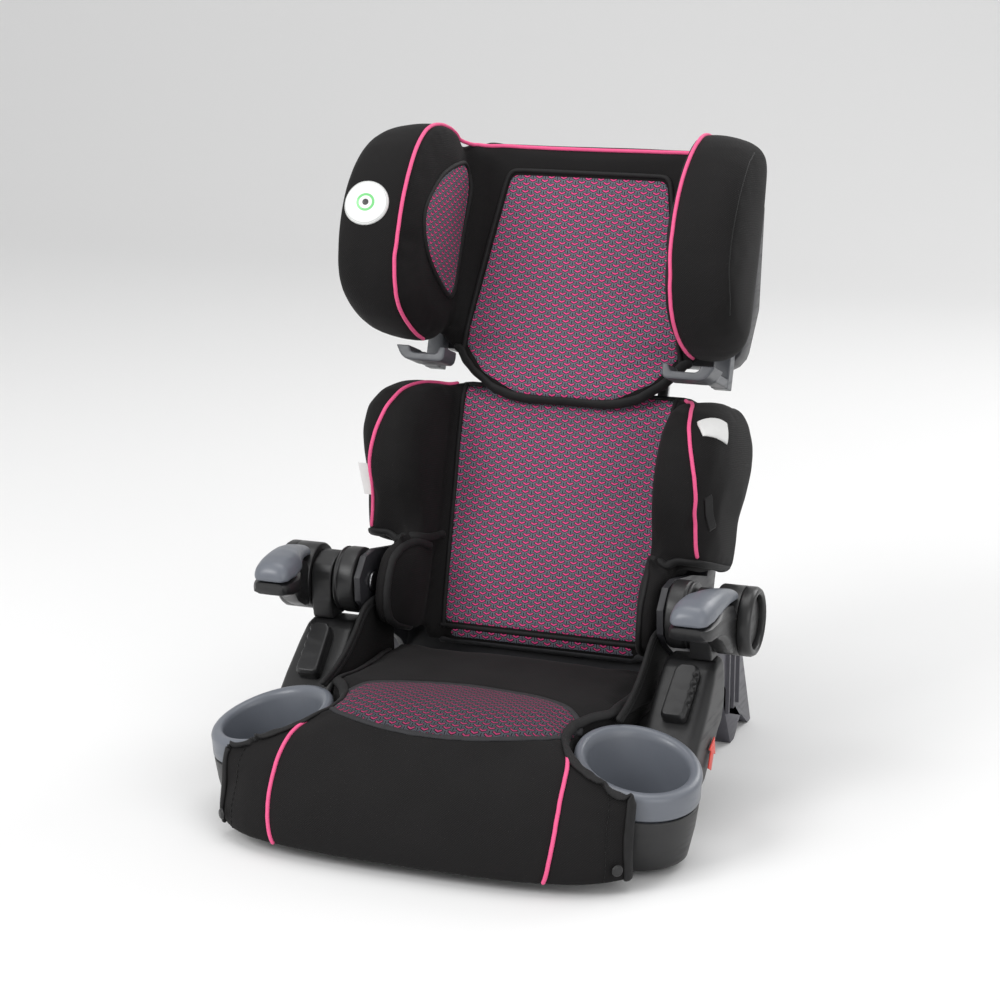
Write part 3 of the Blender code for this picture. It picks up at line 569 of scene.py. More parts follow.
def spaced(points, spacing, closed=False):
    """A smooth curve through the points, with evenly spaced points of its own."""
    points = [Vector(point) for point in points]
    if closed:
        knots = [points[-1]] + points + points[:2]
    else:
        knots = [2 * points[0] - points[1]] + points + [2 * points[-1] - points[-2]]
    dense = []
    for a, b, c, d in zip(knots, knots[1:], knots[2:], knots[3:]):
        for step in range(CURVE_STEPS):
            t = step / CURVE_STEPS
            cubic = (3 * b - a - 3 * c + d) * t**3
            square = (2 * a - 5 * b + 4 * c - d) * t**2
            dense.append(0.5 * (2 * b + (c - a) * t + square + cubic))
    dense.append(points[0] if closed else points[-1])
    lengths = [0.0]
    for before, after in zip(dense, dense[1:]):
        lengths.append(lengths[-1] + (after - before).length)
    count = max(3, round(lengths[-1] / spacing))
    result, index = [], 0
    for step in range(count if closed else count + 1):
        wanted = lengths[-1] * step / count
        while index < len(lengths) - 2 and lengths[index + 1] < wanted:
            index += 1
        stretch = lengths[index + 1] - lengths[index]
        result.append(dense[index].lerp(dense[index + 1], (wanted - lengths[index]) / max(stretch, 1e-9)))
    return result


def laid(points, surface, lift, spacing=STATION_SPACING, closed=False, direction=None):
    """Stations (point, normal) of a path laid on a surface, seen along direction if one is given."""
    stations = []
    for point in spaced(points, spacing, closed):
        place, normal = surface.seen(point, direction) if direction else surface.nearest(point)
        stations.append((place + normal * lift, normal))
    for _ in range(2):
        stations = evened(stations, closed)
    return stations


def evened(stations, closed):
    """The stations with small jumps of place and normal smoothed away."""
    result = []
    count = len(stations)
    for index, (place, normal) in enumerate(stations):
        if not closed and index in (0, count - 1):
            result.append((place, normal))
            continue
        before, after = stations[index - 1], stations[(index + 1) % count]
        even_place = (before[0] + after[0] + 2 * place) / 4
        even_normal = (before[1] + after[1] + 2 * normal).normalized()
        result.append((even_place, even_normal))
    return result


def oval_ring(place, tangent, normal, section, share, sides, rise=0.0):
    """Points round an oval across a path: a share of the section, risen from place along the normal."""
    across = tangent.cross(normal).normalized()
    upward = across.cross(tangent)
    middle = place + upward * rise
    points = []
    for step in range(sides):
        angle = tau * step / sides
        offset = across * (cos(angle) * section[0]) + upward * (sin(angle) * section[1])
        points.append(middle + offset * share)
    return points


def tube_faces(rings, sides, closed=False):
    """Faces between rings of points, each known by its first point, with flat ends unless closed."""
    faces = []
    pairs = list(zip(rings, rings[1:])) + ([(rings[-1], rings[0])] if closed else [])
    for low, high in pairs:
        for step in range(sides):
            after = (step + 1) % sides
            faces.append((low + step, low + after, high + after, high + step))
    if not closed:
        faces.append(tuple(rings[0] + step for step in reversed(range(sides))))
        faces.append(tuple(rings[-1] + step for step in range(sides)))
    return faces


def swept(name, stations, section, material, closed=False, sides=12):
    """A cord or tape along stations; section is its half width across the path and its half height."""
    count = len(stations)
    half_height = section[1]
    vertices, rings = [], []

    def ring(index, share=1.0, shift=0.0):
        place, normal = stations[index]
        before = stations[index - 1][0] if closed or index > 0 else place
        after = stations[(index + 1) % count][0] if closed or index < count - 1 else place
        tangent = (after - before).normalized()
        rings.append(len(vertices))
        vertices.extend(oval_ring(place + tangent * shift, tangent, normal, section, share, sides))

    if not closed:
        for share, overhang in END_RINGS:
            ring(0, share, -half_height * overhang)
    for index in range(count):
        ring(index)
    if not closed:
        for share, overhang in reversed(END_RINGS):
            ring(count - 1, share, half_height * overhang)
    return link_mesh(name, vertices, tube_faces(rings, sides, closed), material)


def stitches(name, stations):
    """A row of separate stitches along stations that are spaced closer than a stitch."""
    vertices, faces = [], []
    final = len(stations) - 1
    index = 0
    while index < final:
        place, normal = stations[index]
        last = index
        while last < final and (stations[last][0] - place).length < STITCH_LENGTH:
            last += 1
        far = stations[last][0]
        tangent = (far - place).normalized()
        rings = []
        for share, size, rise in STITCH_RINGS:
            middle = place.lerp(far, share)
            section = (STITCH_R, STITCH_R)
            rings.append(len(vertices))
            vertices += oval_ring(middle, tangent, normal, section, size, STITCH_SIDES, rise * STITCH_R)
        faces += tube_faces(rings, STITCH_SIDES)
        index = last
        travelled = 0.0
        while index < final and travelled < STITCH_GAP:
            travelled += (stations[index + 1][0] - stations[index][0]).length
            index += 1
    return link_mesh(name, vertices, faces, THREAD)


def sewn(obj, points, depth, reach):
    """Presses a seam into the cover along a path."""
    path = spaced(points, STATION_SPACING)
    tree = KDTree(len(path))
    for index, point in enumerate(path):
        tree.insert(point, index)
    tree.balance()

    def fall(point):
        distance = tree.find(point)[2]
        return -depth * max(0.0, 1 - distance / reach) ** 2

    push(obj, fall)


def panel(
    name, outline, place_of, surface, direction, material, lift=0.0006, crown=0.0, rings=26, nearest=False,
):
    """A patch laid on a surface inside an outline of (u, v) in metres, sunk in at its border.

    Its cloth attribute holds (u, v), so that a pattern keeps its size."""
    centre = sum((Vector(point) for point in outline), Vector((0.0, 0.0))) / len(outline)
    count = len(outline)
    vertices, cloth, faces = [], [], []
    for ring in range(rings + 1):
        share = ring / rings
        for point in outline if ring else [centre]:
            u, v = centre.lerp(Vector(point), share)
            aim = place_of(u, v)
            place, normal = surface.nearest(aim) if nearest else surface.seen(aim, direction)
            rise = lift + crown * (1 - share**2) - (PANEL_SINK if ring == rings else 0.0)
            vertices.append(place + normal * rise)
            cloth.append((u, v, 0.0))
    for step in range(count):
        after = (step + 1) % count
        faces.append((0, 1 + step, 1 + after))
        for ring in range(rings - 1):
            low, high = 1 + ring * count, 1 + (ring + 1) * count
            faces.append((low + step, high + step, high + after, low + after))
    obj = link_mesh(name, vertices, faces, material)
    attribute = obj.data.attributes.new("cloth", "FLOAT_VECTOR", "POINT")
    attribute.data.foreach_set("vector", [value for row in cloth for value in row])
    with opened(obj) as skin:
        skin.normal_update()
        if sum(face.normal.dot(direction) for face in skin.faces) > 0:
            bmesh.ops.reverse_faces(skin, faces=skin.faces)
    return modified(obj, "SOLIDIFY", thickness=PANEL_THICKNESS, offset=-1.0)


def rounded_outline(corners, steps=6):
    """A closed outline from (u, v, radius) corners, with points along its long sides."""
    outline = []
    count = len(corners)
    for index, (u, v, radius) in enumerate(corners):
        here = Vector((u, v))
        before = (Vector(corners[index - 1][:2]) - here).normalized()
        after = (Vector(corners[(index + 1) % count][:2]) - here).normalized()
        half_angle = before.angle(after) / 2
        reach = radius / tan(half_angle)
        start, end = here + before * reach, here + after * reach
        centre = here + (before + after).normalized() * (radius / sin(half_angle))
        for step in range(steps + 1):
            spoke = start.lerp(end, step / steps) - centre
            outline.append(centre + spoke.normalized() * radius)
    filled = []
    for index, point in enumerate(outline):
        following = outline[(index + 1) % len(outline)]
        pieces = max(1, round((following - point).length / OUTLINE_SPACING))
        filled += [point.lerp(following, step / pieces) for step in range(pieces)]
    return filled


def four_corners(half_bottom, half_top, low, high, radius):
    """Corners, for rounded_outline, of a symmetric shape with straight sides."""
    places = ((-half_bottom, low), (half_bottom, low), (half_top, high), (-half_top, high))
    return [(u, v, radius) for u, v in places]


def ellipse(half_width, half_height, count, middle_v=0.0):
    """An outline of (u, v) points."""
    angles = [tau * step / count for step in range(count)]
    return [(half_width * cos(angle), middle_v + half_height * sin(angle)) for angle in angles]


def on_side(side, points):
    """The points with x turned to one side of the centre plane: -1 is the left, 1 the right."""
    return [Vector((side * x, y, z)) for x, y, z in points]


# ---- hard parts
def bevelled(name, node, material, width):
    """A CAD shape with its moulded edges broken."""
    obj = welded_copy(name, node, material)
    with opened(obj) as skin:
        bmesh.ops.dissolve_limit(skin, angle_limit=radians(1.0), verts=skin.verts, edges=skin.edges)
    modified(obj, "BEVEL", width=width, segments=2, limit_method="ANGLE", angle_limit=radians(35))
    obj.data.shade_smooth()
    obj.data.set_sharp_from_angle(angle=radians(38))
    return obj


def softened(name, node, material, voxel, rounds):
    """A CAD shape with its facets and edges melted into smooth moulded forms."""
    obj = welded_copy(name, node, material)
    remesh(obj, voxel)
    relax(obj, rounds)
    obj.data.shade_smooth()
    return obj


def turned(name, profile, place, material, segments=72):
    """A turned shell from a (radius, height) profile that starts and ends on the axis."""
    vertices, faces, rows = [], [], []
    for radius, height in profile:
        if radius <= 0:
            rows.append([len(vertices)])
            vertices.append(place(0.0, 0.0, height))
            continue
        rows.append(list(range(len(vertices), len(vertices) + segments)))
        for step in range(segments):
            angle = tau * step / segments
            vertices.append(place(radius * cos(angle), radius * sin(angle), height))
    for low, high in zip(rows, rows[1:]):
        for step in range(segments):
            after = (step + 1) % segments
            if len(low) == 1:
                faces.append((low[0], high[step], high[after]))
            elif len(high) == 1:
                faces.append((low[step], low[after], high[0]))
            else:
                faces.append((low[step], low[after], high[after], high[step]))
    obj = link_mesh(name, vertices, faces, material)
    face_outward(obj)
    obj.data.shade_smooth()
    obj.data.set_sharp_from_angle(angle=radians(50))
    return obj


CUP_CENTRE = Vector((0.187, -0.1345, 0.0))
CUP_RIM_Z = 0.0935
CUP_SLOPE_OUT, CUP_SLOPE_FRONT = -0.198, 0.17
HOLDER_FLOOR_Z, CUP_BASE_FLOOR_Z = 0.024, 0.006


def cup_place(side, floor_z):
    """Rings stand level at floor_z and tilt more and more towards the rim."""

    def place(u, v, height):
        share = max(0.0, (height - floor_z) / (CUP_RIM_Z - floor_z))
        tilt = (CUP_SLOPE_OUT * u + CUP_SLOPE_FRONT * v) * share
        return Vector((side * (CUP_CENTRE.x + u), CUP_CENTRE.y + v, height + tilt))

    return place


def cups():
    """The cup holders and the cups' black bases, turned from (radius, height) profiles."""
    holder = [
        (0.0, 0.024), (0.045, 0.024), (0.0485, 0.0255), (0.0492, 0.03), (0.052, 0.0655),
        (0.056, 0.0672), (0.0576, 0.0682), (0.0584, 0.07), (0.0594, 0.086), (0.06, 0.0925), (0.0594, 0.0952),
        (0.058, 0.0972), (0.0556, 0.0984), (0.0528, 0.0986), (0.0502, 0.0974), (0.0484, 0.095), (0.0474, 0.091),
        (0.0458, 0.06), (0.044, 0.038), (0.042, 0.031), (0.038, 0.0282), (0.033, 0.0275), (0.0, 0.0275),
    ]
    base = [
        (0.0, 0.006), (0.042, 0.006), (0.0455, 0.0066), (0.0474, 0.0085), (0.0484, 0.013), (0.054, 0.04),
        (0.0572, 0.064), (0.0574, 0.0662), (0.0566, 0.067), (0.0535, 0.065), (0.0505, 0.03), (0.0485, 0.0205),
        (0.0, 0.0205),
    ]
    for label, side in SIDES:
        for node, profile, floor_z, material, slot in (
            ("cup_holder_", holder, HOLDER_FLOOR_Z, GREY_PLASTIC, "grey_plastic"),
            ("cup_base_", base, CUP_BASE_FLOOR_Z, BLACK_PLASTIC, "black_plastic"),
        ):
            name = node + label
            show(turned(name + "_shell", profile, cup_place(side, floor_z), material), "base", slot, name)


def hard_parts():
    """Every plastic and steel part that keeps its CAD shape, with softened or bevelled edges.

    The rows end with a voxel size and rounds of smoothing, or with the width of the bevel."""
    for label, _ in SIDES:
        arm = "arm_" + label
        for node, body, slot, material, voxel, rounds in (
            ("arm_cap_", arm, "grey_plastic", GREY_PLASTIC, 0.0012, 30),
            ("upright_", "base", "black_plastic", BLACK_PLASTIC, 0.0016, 10),
            ("release_handle_", "handle_" + label, "black_plastic", BLACK_PLASTIC, 0.0008, 4),
            ("belt_guide_", "head", "grey_plastic", MID_GREY_PLASTIC, 0.001, 3),
            ("hub_bracket_", "base", "black_plastic", BLACK_PLASTIC, 0.0012, 4),
        ):
            name = node + label
            show(softened(name + "_shell", name, material, voxel, rounds), body, slot, name)
        for node, body, slot, material, width in (
            ("arm_body_", arm, "black_plastic", GLOSS_BLACK, 0.0014),
            ("hub_ring_", arm, "black_plastic", GLOSS_BLACK, 0.0006),
            ("hub_disc_", arm, "dark_grey_plastic", BLACK_PLASTIC, 0.0006),
            ("fold_drum_", "back", "black_plastic", BLACK_PLASTIC, 0.0006),
            ("hinge_pin_", "base", "steel", STEEL, 0.0005),
            ("rear_leg_", "back", "dark_grey_plastic", DARK_PLASTIC, 0.0012),
            ("head_rail_", "back", "steel", STEEL, 0.0008),
            ("belt_arrow_", "base", "red_plastic", RED_PLASTIC, 0.0004),
            ("cover_snap_", "base", "black_plastic", BLACK_PLASTIC, 0.0004),
        ):
            name = node + label
            show(bevelled(name + "_part", name, material, width), body, slot, name)
    for node, body, slot, material, width in (
        ("base_shell", "base", "black_plastic", BLACK_PLASTIC, 0.0015),
        ("base_floor_plate", "base", "black_plastic", BLACK_PLASTIC, 0.0012),
        ("back_frame", "back", "dark_grey_plastic", CHARCOAL_PLASTIC, 0.0012),
        ("height_rack", "back", "grey_plastic", GREY_PLASTIC, 0.0004),
        ("head_shell", "head", "grey_plastic", CHARCOAL_PLASTIC, 0.0012),
        ("head_carriage", "head", "grey_plastic", GREY_PLASTIC, 0.0012),
        ("head_stem", "head", "grey_plastic", GREY_PLASTIC, 0.0006),
        ("height_pawl", "height_latch", "steel", STEEL, 0.0004),
        ("lever_rod", "height_latch", "steel", STEEL, 0.0003),
        ("height_lever", "lever", "grey_plastic", GREY_PLASTIC, 0.0015),
    ):
        show(bevelled(node + "_part", node, material, width), body, slot, node)


# ---- seat
SEAT_OVAL = (0.126, 0.061)  # half width and half depth of the knitted oval
SEAT_OVAL_Y = -0.127


def held_seat(point):
    """The underside behind the apron and the apron's hem stay put."""
    return (point.z < 0.088 and point.y > -0.205) or point.z < 0.012


def seat():
    """Seat cushion and front apron with its knitted oval, pink piping and bound edges round the cups."""
    cushion = padded("seat_cover", ["seat_cushion"], BLACK_CLOTH, held_seat, voxel=0.0055, cap=0.0045)
    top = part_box("seat_cushion")[1].z
    oval = ellipse(*SEAT_OVAL, 96, SEAT_OVAL_Y)
    rim = [Vector((u, v, top)) for u, v in oval[::4]]
    ripple(cushion, height=0.001, size=0.07)
    outside = Surface(cushion)
    sewn(cushion, [outside.seen(point, DOWN)[0] for point in rim + rim[:1]], depth=0.0022, reach=0.012)
    for _, side in SIDES:
        sewn(cushion, on_side(side, SEAT_PIPING), depth=0.0022, reach=0.01)
        sewn(cushion, on_side(side, APRON_SEAM), depth=0.0012, reach=0.006)
    surface = Surface(cushion)
    show(cushion, "base", "black_fabric", "seat_cushion")

    def place_of(u, v):
        return Vector((u, v, top))

    # the seat's knit panel carries painted shade: its colours are a darkened copy of the knit's
    fabric(panel("seat_knit", oval, place_of, surface, DOWN, SHADED_SEAT_KNIT, crown=0.0018), "base")
    welt = laid(rim, surface, lift=0.0006, closed=True, direction=DOWN)
    fabric(swept("seat_knit_welt", welt, OVAL_WELT, GREY_TAPE, closed=True), "base")
    for label, side in SIDES:
        path = laid(on_side(side, SEAT_PIPING), surface, lift=0.0008)
        fabric(swept("seat_piping_" + label, path, PIPING, PINK), "base")
        seam = laid(on_side(side, APRON_SEAM), surface, lift=0.0003, spacing=0.0008)
        fabric(stitches("apron_stitches_" + label, seam), "base")
        edge = laid(cup_edge(side, top), surface, lift=0.0012)
        fabric(swept("cup_edge_binding_" + label, edge, CUP_BINDING, BLACK_TAPE), "base")


SEAT_PIPING = [
    (0.1265, -0.156, 0.116), (0.133, -0.175, 0.115), (0.139, -0.198, 0.1075), (0.1415, -0.224, 0.087),
    (0.142, -0.242, 0.056), (0.139, -0.25, 0.03), (0.1355, -0.252, 0.011),
]
APRON_SEAM = [
    (0.178, -0.202, 0.096), (0.184, -0.212, 0.085), (0.188, -0.226, 0.06), (0.189, -0.232, 0.035),
    (0.188, -0.233, 0.011),
]


APRON_END = [(0.206, -0.205, 0.082), (0.206, -0.212, 0.06), (0.206, -0.216, 0.036), (0.206, -0.214, 0.012)]
CUP_EDGE_R = 0.0672  # of the edge round the cup holder
CUP_EDGE_TURN = (128, 145, 165, 185, 205, 225, 245, 265, 280)  # degrees round the cup holder
CUP_EDGE_DROP = 0.0002  # how much lower the edge runs for each degree


def cup_edge(side, top):
    """The edge of the cover: past the upright, round the cup holder, then down the end of the apron."""
    points = [(0.15, y, top) for y in (0.05, 0.01, -0.03, -0.062)]
    for degrees in CUP_EDGE_TURN:
        angle = radians(degrees)
        u, v = CUP_EDGE_R * cos(angle), CUP_EDGE_R * sin(angle)
        z = top - CUP_EDGE_DROP * (degrees - CUP_EDGE_TURN[0])
        points.append((CUP_CENTRE.x + u, CUP_CENTRE.y + v, z))
    return on_side(side, points + APRON_END)


FLAP_X = (0.1522, 0.155)  # inner and outer face of the side wall
FLAP_FRONT = [
    (-0.09, 0.119), (-0.062, 0.124), (-0.034, 0.134), (-0.01, 0.148), (0.008, 0.162), (0.024, 0.168),
]
FLAP_REAR = [(0.06, 0.169), (0.086, 0.166), (0.09, 0.095)]
FLAP_BINDING_X = 0.1532
FLAP_BINDING_INSETS = (0.0, 0.0065)


def side_flaps():
    """Sewn side walls between seat and hub, each with a doubled binding down its front edge."""
    for label, side in SIDES:
        name = "side_flap_" + label
        front = [(point.x, point.y) for point in spaced([(y, z, 0.0) for y, z in FLAP_FRONT], 0.004)]
        outline = front + FLAP_REAR
        vertices = [(side * x, y, z) for x in FLAP_X for y, z in outline]
        count = len(outline)
        faces = [tuple(range(count)), tuple(reversed(range(count, 2 * count)))]
        faces += [(i, i + count, (i + 1) % count + count, (i + 1) % count) for i in range(count)]
        flap = link_mesh(name + "_cover", vertices, faces, BLACK_CLOTH, smooth=False)
        face_outward(flap)
        show(flap, "base", "black_fabric", name)
        for row, inset in enumerate(FLAP_BINDING_INSETS):
            line = FLAP_FRONT + FLAP_REAR[:1]
            edge = [(side * FLAP_BINDING_X, y + inset, z - inset * 0.6) for y, z in line]
            stations = [(point, Vector((-side, 0.0, 0.0))) for point in spaced(edge, STATION_SPACING)]
            fabric(swept(f"{name}_binding_{row}", stations, FLAP_BINDING, BLACK_TAPE), "base")


# ---- back
BACK_FACE_N = 0.09  # a depth at the face of the back cushion
BACK_PADS = ("back_cushion", "back_bolster_left", "back_bolster_right", "hip_pad_left", "hip_pad_right")


def filler(side, points, section):
    """Stuffing that closes the gap between neighbouring pads; points are back coordinates."""
    path = spaced([on_back(side * x, s, n) for x, s, n in points], 0.006)
    return swept("stuffing", [(place, REARWARD) for place in path], section, BLACK_CLOTH)


def rear_held(split_x, outer_n, inner_n):
    """Holds what lies behind outer_n further than split_x from the centre plane, else behind inner_n."""
    return lambda point: back_coordinates(point).z > (outer_n if abs(point.x) > split_x else inner_n)


def back():
    """Back cushion, bolsters and hip pads under one sewn cover, with its knitted panel and trim."""
    fillers = []
    for _, side in SIDES:
        beside = [(0.124, -0.046, 0.098), (0.124, 0.09, 0.098), (0.124, 0.222, 0.098)]
        below = [(0.131, 0.047, 0.002), (0.13, 0.047, 0.045), (0.129, 0.047, 0.09)]
        fillers += [filler(side, beside, BOLSTER_FILLER), filler(side, below, HIP_FILLER)]
    held = rear_held(split_x=0.13, outer_n=0.15, inner_n=0.111)
    cover = padded("back_cover", BACK_PADS, BLACK_CLOTH, held, fillers, voxel=0.0045)
    piping_path = [on_back(*point) for point in BOLSTER_PIPING]
    for _, side in SIDES:
        sewn(cover, on_side(side, piping_path), depth=0.0022, reach=0.01)
    ripple(cover, height=0.0009, size=0.055)
    show(cover, "back", "black_fabric", *BACK_PADS)
    surface = Surface(cover)
    back_panel(surface)
    bolster_trim(surface)
    labels(surface)


def back_panel(surface):
    """Knitted panel and hem strip of the back, with the welts and the band round them."""

    def place_of(u, v):
        return on_back(u, v, BACK_FACE_N)

    def laid_on_face(path):
        return laid([place_of(x, s) for x, s in path], surface, lift=0.0006, direction=REARWARD)

    for name, corners, rings in (
        ("back_knit", four_corners(0.109, 0.116, -0.033, 0.224, 0.004), 40),
        ("back_hem_knit", four_corners(0.108, 0.1085, -0.046, -0.0375, 0.002), 8),
    ):
        outline = rounded_outline(corners)
        fabric(panel(name, outline, place_of, surface, REARWARD, KNIT, rings=rings), "back")
    for name, s, half, section, material in (
        ("back_hem_welt", -0.035, 0.112, HEM_WELT, BLACK_TAPE),
        ("back_hem_band", -0.0495, 0.113, HEM_BAND, GREY_TAPE),
    ):
        path = [(x * half, s) for x in (-1.0, -0.5, 0.0, 0.5, 1.0)]
        fabric(swept(name, laid_on_face(path), section, material), "back")
    for label, side in SIDES:
        path = [(side * (0.1105 + 0.027 * s), s) for s in (-0.036, 0.05, 0.14, 0.222)]
        fabric(swept("back_welt_" + label, laid_on_face(path), WELT, BLACK_TAPE), "back")


BOLSTER_PIPING = [
    (0.1275, 0.227, 0.095), (0.137, 0.2245, 0.07), (0.15, 0.2166, 0.036), (0.1565, 0.204, 0.01),
    (0.161, 0.187, -0.006), (0.1678, 0.1608, -0.0147), (0.175, 0.133, -0.012), (0.1797, 0.11, -0.003),
    (0.1815, 0.085, 0.008), (0.1815, 0.056, 0.02),
]
BOLSTER_ARCH = [
    (0.125, 0.06, 0.09), (0.127, 0.053, 0.05), (0.138, 0.049, 0.026), (0.16, 0.048, 0.022),
    (0.18, 0.05, 0.03), (0.1868, 0.052, 0.06), (0.187, 0.052, 0.11),
]
HIP_EDGE = [
    (0.127, 0.045, 0.06), (0.129, 0.044, 0.025), (0.13, 0.03, -0.008), (0.13, 0.0, -0.017),
    (0.13, -0.028, -0.011), (0.13, -0.045, 0.01), (0.129, -0.047, 0.05),
]


def bolster_trim(surface):
    """Piping and bound edges of both bolsters and hip pads."""
    for label, side in SIDES:
        for name, points, section, material in (
            ("bolster_piping_", BOLSTER_PIPING, PIPING, PINK),
            ("bolster_arch_binding_", BOLSTER_ARCH, ARCH_BINDING, BLACK_TAPE),
            ("hip_edge_binding_", HIP_EDGE, HIP_BINDING, BLACK_TAPE),
        ):
            path = laid([on_back(side * x, s, n) for x, s, n in points], surface, lift=0.0008)
            fabric(swept(name + label, path, section, material), "back")


def labels(surface):
    """Blank care labels: a white one and a black tab on the right bolster, a white tab on the left."""
    for name, low, high, (length, width), material in (
        ("care_label_white", (0.177, 0.19, -0.006), (0.193, 0.186, 0.024), (0.047, 0.027), WHITE_LABEL),
        ("care_label_black", (0.185, 0.125, 0.006), (0.1875, 0.08, 0.04), (0.04, 0.011), BLACK_TAPE),
    ):
        first, last = on_back(*low), on_back(*high)
        middle, outward = surface.nearest((first + last) / 2)
        along = (last - first).normalized()
        upward = outward.cross(along).normalized()
        outline = rounded_outline(four_corners(length / 2, length / 2, -width / 2, width / 2, 0.0015), 3)
        card = panel(
            name, outline, lambda u, v: middle + along * u + upward * v, surface, -outward, material,
            lift=0.0016, rings=8, nearest=True,
        )
        fabric(card, "back")
    tab = []
    for s in (0.085, 0.119):
        root = surface.nearest(on_back(-0.186, s, 0.004))[0]
        tab += [root + ACROSS * 0.003, root - ACROSS * 0.01]
    outward = (tab[1] - tab[0]).cross(tab[2] - tab[0]).normalized() * 0.0006
    vertices = [point + offset for offset in (outward, -outward) for point in tab]
    faces = [(0, 1, 3, 2), (4, 6, 7, 5), (0, 4, 5, 1), (2, 3, 7, 6), (0, 2, 6, 4), (1, 5, 7, 3)]
    fabric(link_mesh("care_tab_left", vertices, faces, WHITE_LABEL, smooth=False), "back")


# ---- head support
WING_PIPING = [
    (0.144, 0.25, 0.034), (0.144, 0.258, -0.002), (0.143, 0.274, -0.048), (0.142, 0.305, -0.072),
    (0.14, 0.35, -0.081), (0.14, 0.4, -0.076), (0.142, 0.445, -0.056), (0.144, 0.472, -0.03),
    (0.143, 0.485, 0.0), (0.14, 0.489, 0.035), (0.133, 0.486, 0.068),
]
WING_KNIT = [  # (s, n) round the knitted patch on the wing's inner face
    (0.45, 0.048), (0.438, 0.015), (0.42, -0.015), (0.39, -0.04), (0.365, -0.043), (0.34, -0.025),
    (0.32, 0.01), (0.308, 0.045), (0.315, 0.06), (0.35, 0.066), (0.4, 0.07), (0.438, 0.07),
    (0.45, 0.06),
]


WING_INNER_X = 0.133
WING_OUTER_SEAM = [  # (s, n) on the wing's outer face
    (0.465, -0.03), (0.43, -0.062), (0.38, -0.084), (0.33, -0.084), (0.285, -0.06),
]
HEAD_FACE_N = 0.078  # a depth at the face of the head pad
HEAD_CROWN = [(0.115, 0.483, 0.078), (0.07, 0.4815, 0.078), (0.0, 0.481, 0.078)]  # along the pad's top
HEAD_PANEL = [(0.05, 0.211, 0.03), (0.095, 0.233, 0.02), (0.118, 0.262, 0.006), (0.087, 0.448, 0.01)]
HEAD_WELT = [(0.1195, 0.258), (0.109, 0.33), (0.0975, 0.4), (0.09, 0.442), (0.085, 0.449), (0.076, 0.451)]
HEAD_HEM_ARC = [(0.128, 0.26), (0.121, 0.248), (0.107, 0.232), (0.08, 0.215), (0.045, 0.207)]


def both_sides(points, *middle):
    """A path over both sides of the centre plane: left to middle to right, from points of the right side."""
    return [(-x, *rest) for x, *rest in points] + [*middle] + list(reversed(points))


def head():
    """Head pad and wings under one sewn cover, with knitted panels, welts and one continuous piping."""
    beside = [(0.132, 0.268, 0.088), (0.132, 0.37, 0.088), (0.132, 0.476, 0.082)]
    fillers = [filler(side, beside, WING_FILLER) for _, side in SIDES]
    pads = ("head_pad", "head_wing_left", "head_wing_right")
    held = rear_held(split_x=0.136, outer_n=0.084, inner_n=0.11)
    cover = padded("head_cover", pads, BLACK_CLOTH, held, fillers)
    wing_path = [on_back(*point) for point in WING_PIPING]
    outer_seam = [on_back(0.21, s, n) for s, n in WING_OUTER_SEAM]
    for _, side in SIDES:
        sewn(cover, on_side(side, wing_path), depth=0.002, reach=0.01)
        sewn(cover, on_side(side, outer_seam), depth=0.0014, reach=0.007)
    ripple(cover, height=0.0009, size=0.08)
    show(cover, "head", "black_fabric", *pads)
    surface = Surface(cover)

    half = [on_back(*point) for point in WING_PIPING + HEAD_CROWN]
    path = laid(half + on_side(-1, reversed(half[:-1])), surface, lift=0.0009)
    fabric(swept("head_piping", path, PIPING, PINK), "head")

    def place_of(u, v):
        return on_back(u, v, HEAD_FACE_N)

    outline = rounded_outline([(-u, v, radius) for u, v, radius in reversed(HEAD_PANEL)] + HEAD_PANEL)
    fabric(panel("head_knit", outline, place_of, surface, REARWARD, KNIT, crown=0.0015, rings=40), "head")
    for name, points, lift, section in (
        ("head_welt", both_sides(HEAD_WELT, (0.0, 0.451)), 0.0012, WELT),
        ("head_hem_binding", both_sides(HEAD_HEM_ARC, (0.0, 0.2045))[::-1], 0.0014, HEAD_HEM),
    ):
        path = laid([place_of(x, s) for x, s in points], surface, lift, direction=REARWARD)
        fabric(swept(name, path, section, BLACK_TAPE), "head")

    patch_outline = spaced([(s, n, 0.0) for s, n in WING_KNIT], 0.004, closed=True)
    right = panel(
        "wing_knit_right", [(point.y, point.x) for point in patch_outline],
        lambda u, v: on_back(WING_INNER_X, v, u), surface, ACROSS, KNIT, crown=0.0022, rings=20,
    )
    rim = [on_back(WING_INNER_X, s, n) for s, n in WING_KNIT]
    border = laid(rim, surface, lift=0.0008, closed=True, direction=ACROSS)
    ring = swept("wing_knit_welt_right", border, WING_WELT, BLACK_TAPE, closed=True)
    thread = swept("wing_seam_right", laid(outer_seam, surface, lift=-0.0001), WING_SEAM, THREAD)
    for piece in (right, ring, thread):
        copy = mirrored(piece, piece.name.replace("right", "left"))
        fabric(piece, "head")
        fabric(copy, "head")

    centre, outward = surface.nearest(on_back(-0.1765, 0.377, -0.095))
    across = outward.cross(UP_BACK).normalized()
    upward = across.cross(outward).normalized()
    sticker = panel(
        "round_sticker", ellipse(STICKER_R, STICKER_R, 64), lambda u, v: centre + across * u + upward * v,
        surface, -outward, STICKER, lift=0.0019, rings=10,
    )
    fabric(sticker, "head")


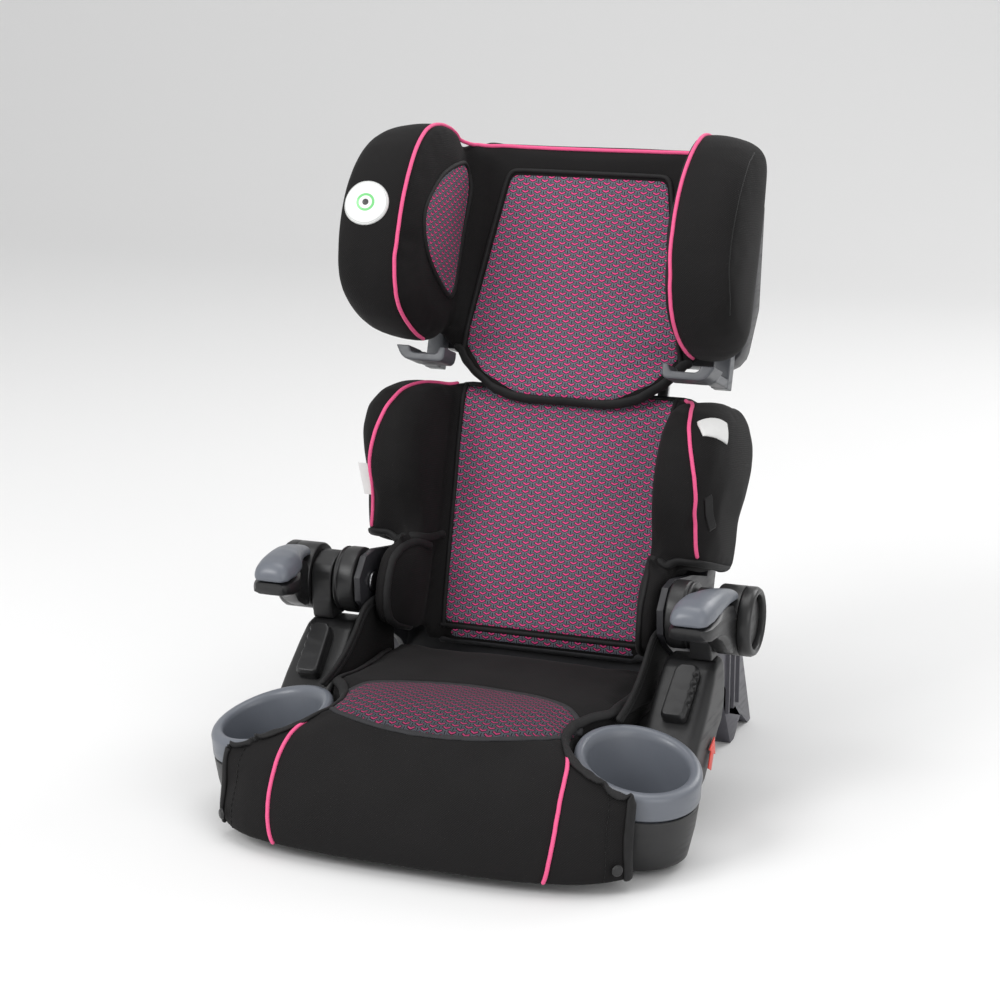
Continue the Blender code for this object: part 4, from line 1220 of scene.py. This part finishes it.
# ---- studio
def studio():
    """Pale sweep, soft lights and the camera."""
    half_width, front, bend, radius, height = 6.0, -5.0, 3.0, 1.5, 6.0
    line = [(front, 0.0), (bend, 0.0)]
    for step in range(1, 13):
        angle = radians(90 * step / 12)
        line.append((bend + radius * sin(angle), radius * (1 - cos(angle))))
    line.append((bend + radius, height))
    vertices = [(x, y, z - 0.0005) for y, z in line for x in (-half_width, half_width)]
    faces = [(2 * i, 2 * i + 1, 2 * i + 3, 2 * i + 2) for i in range(len(line) - 1)]
    paper = Look("studio_paper", (0.82, 0.82, 0.82), 0.9)
    paper.bump(paper.noise(0.02, 2.0), 0.0002, 0.2)
    link_mesh("studio_floor", vertices, faces, paper.material)

    for name, place, size, power in (
        ("key", (-1.6, -2.4, 2.3), 1.6, 54.0),
        ("fill", (2.6, -1.8, 1.5), 2.0, 22.0),
        ("top", (0.0, 0.2, 3.2), 2.2, 32.0),
        ("rim", (1.4, 2.4, 2.0), 1.4, 26.0),
    ):
        light = bpy.data.lights.new(name, "AREA")
        light.size = size
        light.energy = power
        lamp = placed(name, light)
        lamp.location = place
        lamp.rotation_euler = (Vector((0.0, 0.0, 0.3)) - Vector(place)).to_track_quat("-Z", "Y").to_euler()

    SCENE.view_settings.view_transform = "Standard"
    world = bpy.data.worlds.new("studio")
    SCENE.world = world
    world.use_nodes = True
    sky = world.node_tree.nodes["Background"].inputs
    sky["Color"].default_value = (1.0, 1.0, 1.0, 1.0)
    sky["Strength"].default_value = 0.62

    azimuth, elevation, distance = radians(20.5), radians(14.5), 2.45
    target = Vector((0.0, 0.0, 0.297))
    toward = Vector((
        sin(azimuth) * cos(elevation), -cos(azimuth) * cos(elevation), sin(elevation),
    ))
    camera = placed("camera", bpy.data.cameras.new("camera"))
    camera.data.lens = 90.0
    camera.data.sensor_width = 36.0
    camera.location = target + toward * distance
    camera.rotation_euler = (-toward).to_track_quat("-Z", "Y").to_euler()
    SCENE.camera = camera


studio()
hard_parts()
cups()
seat()
side_flaps()
back()
head()
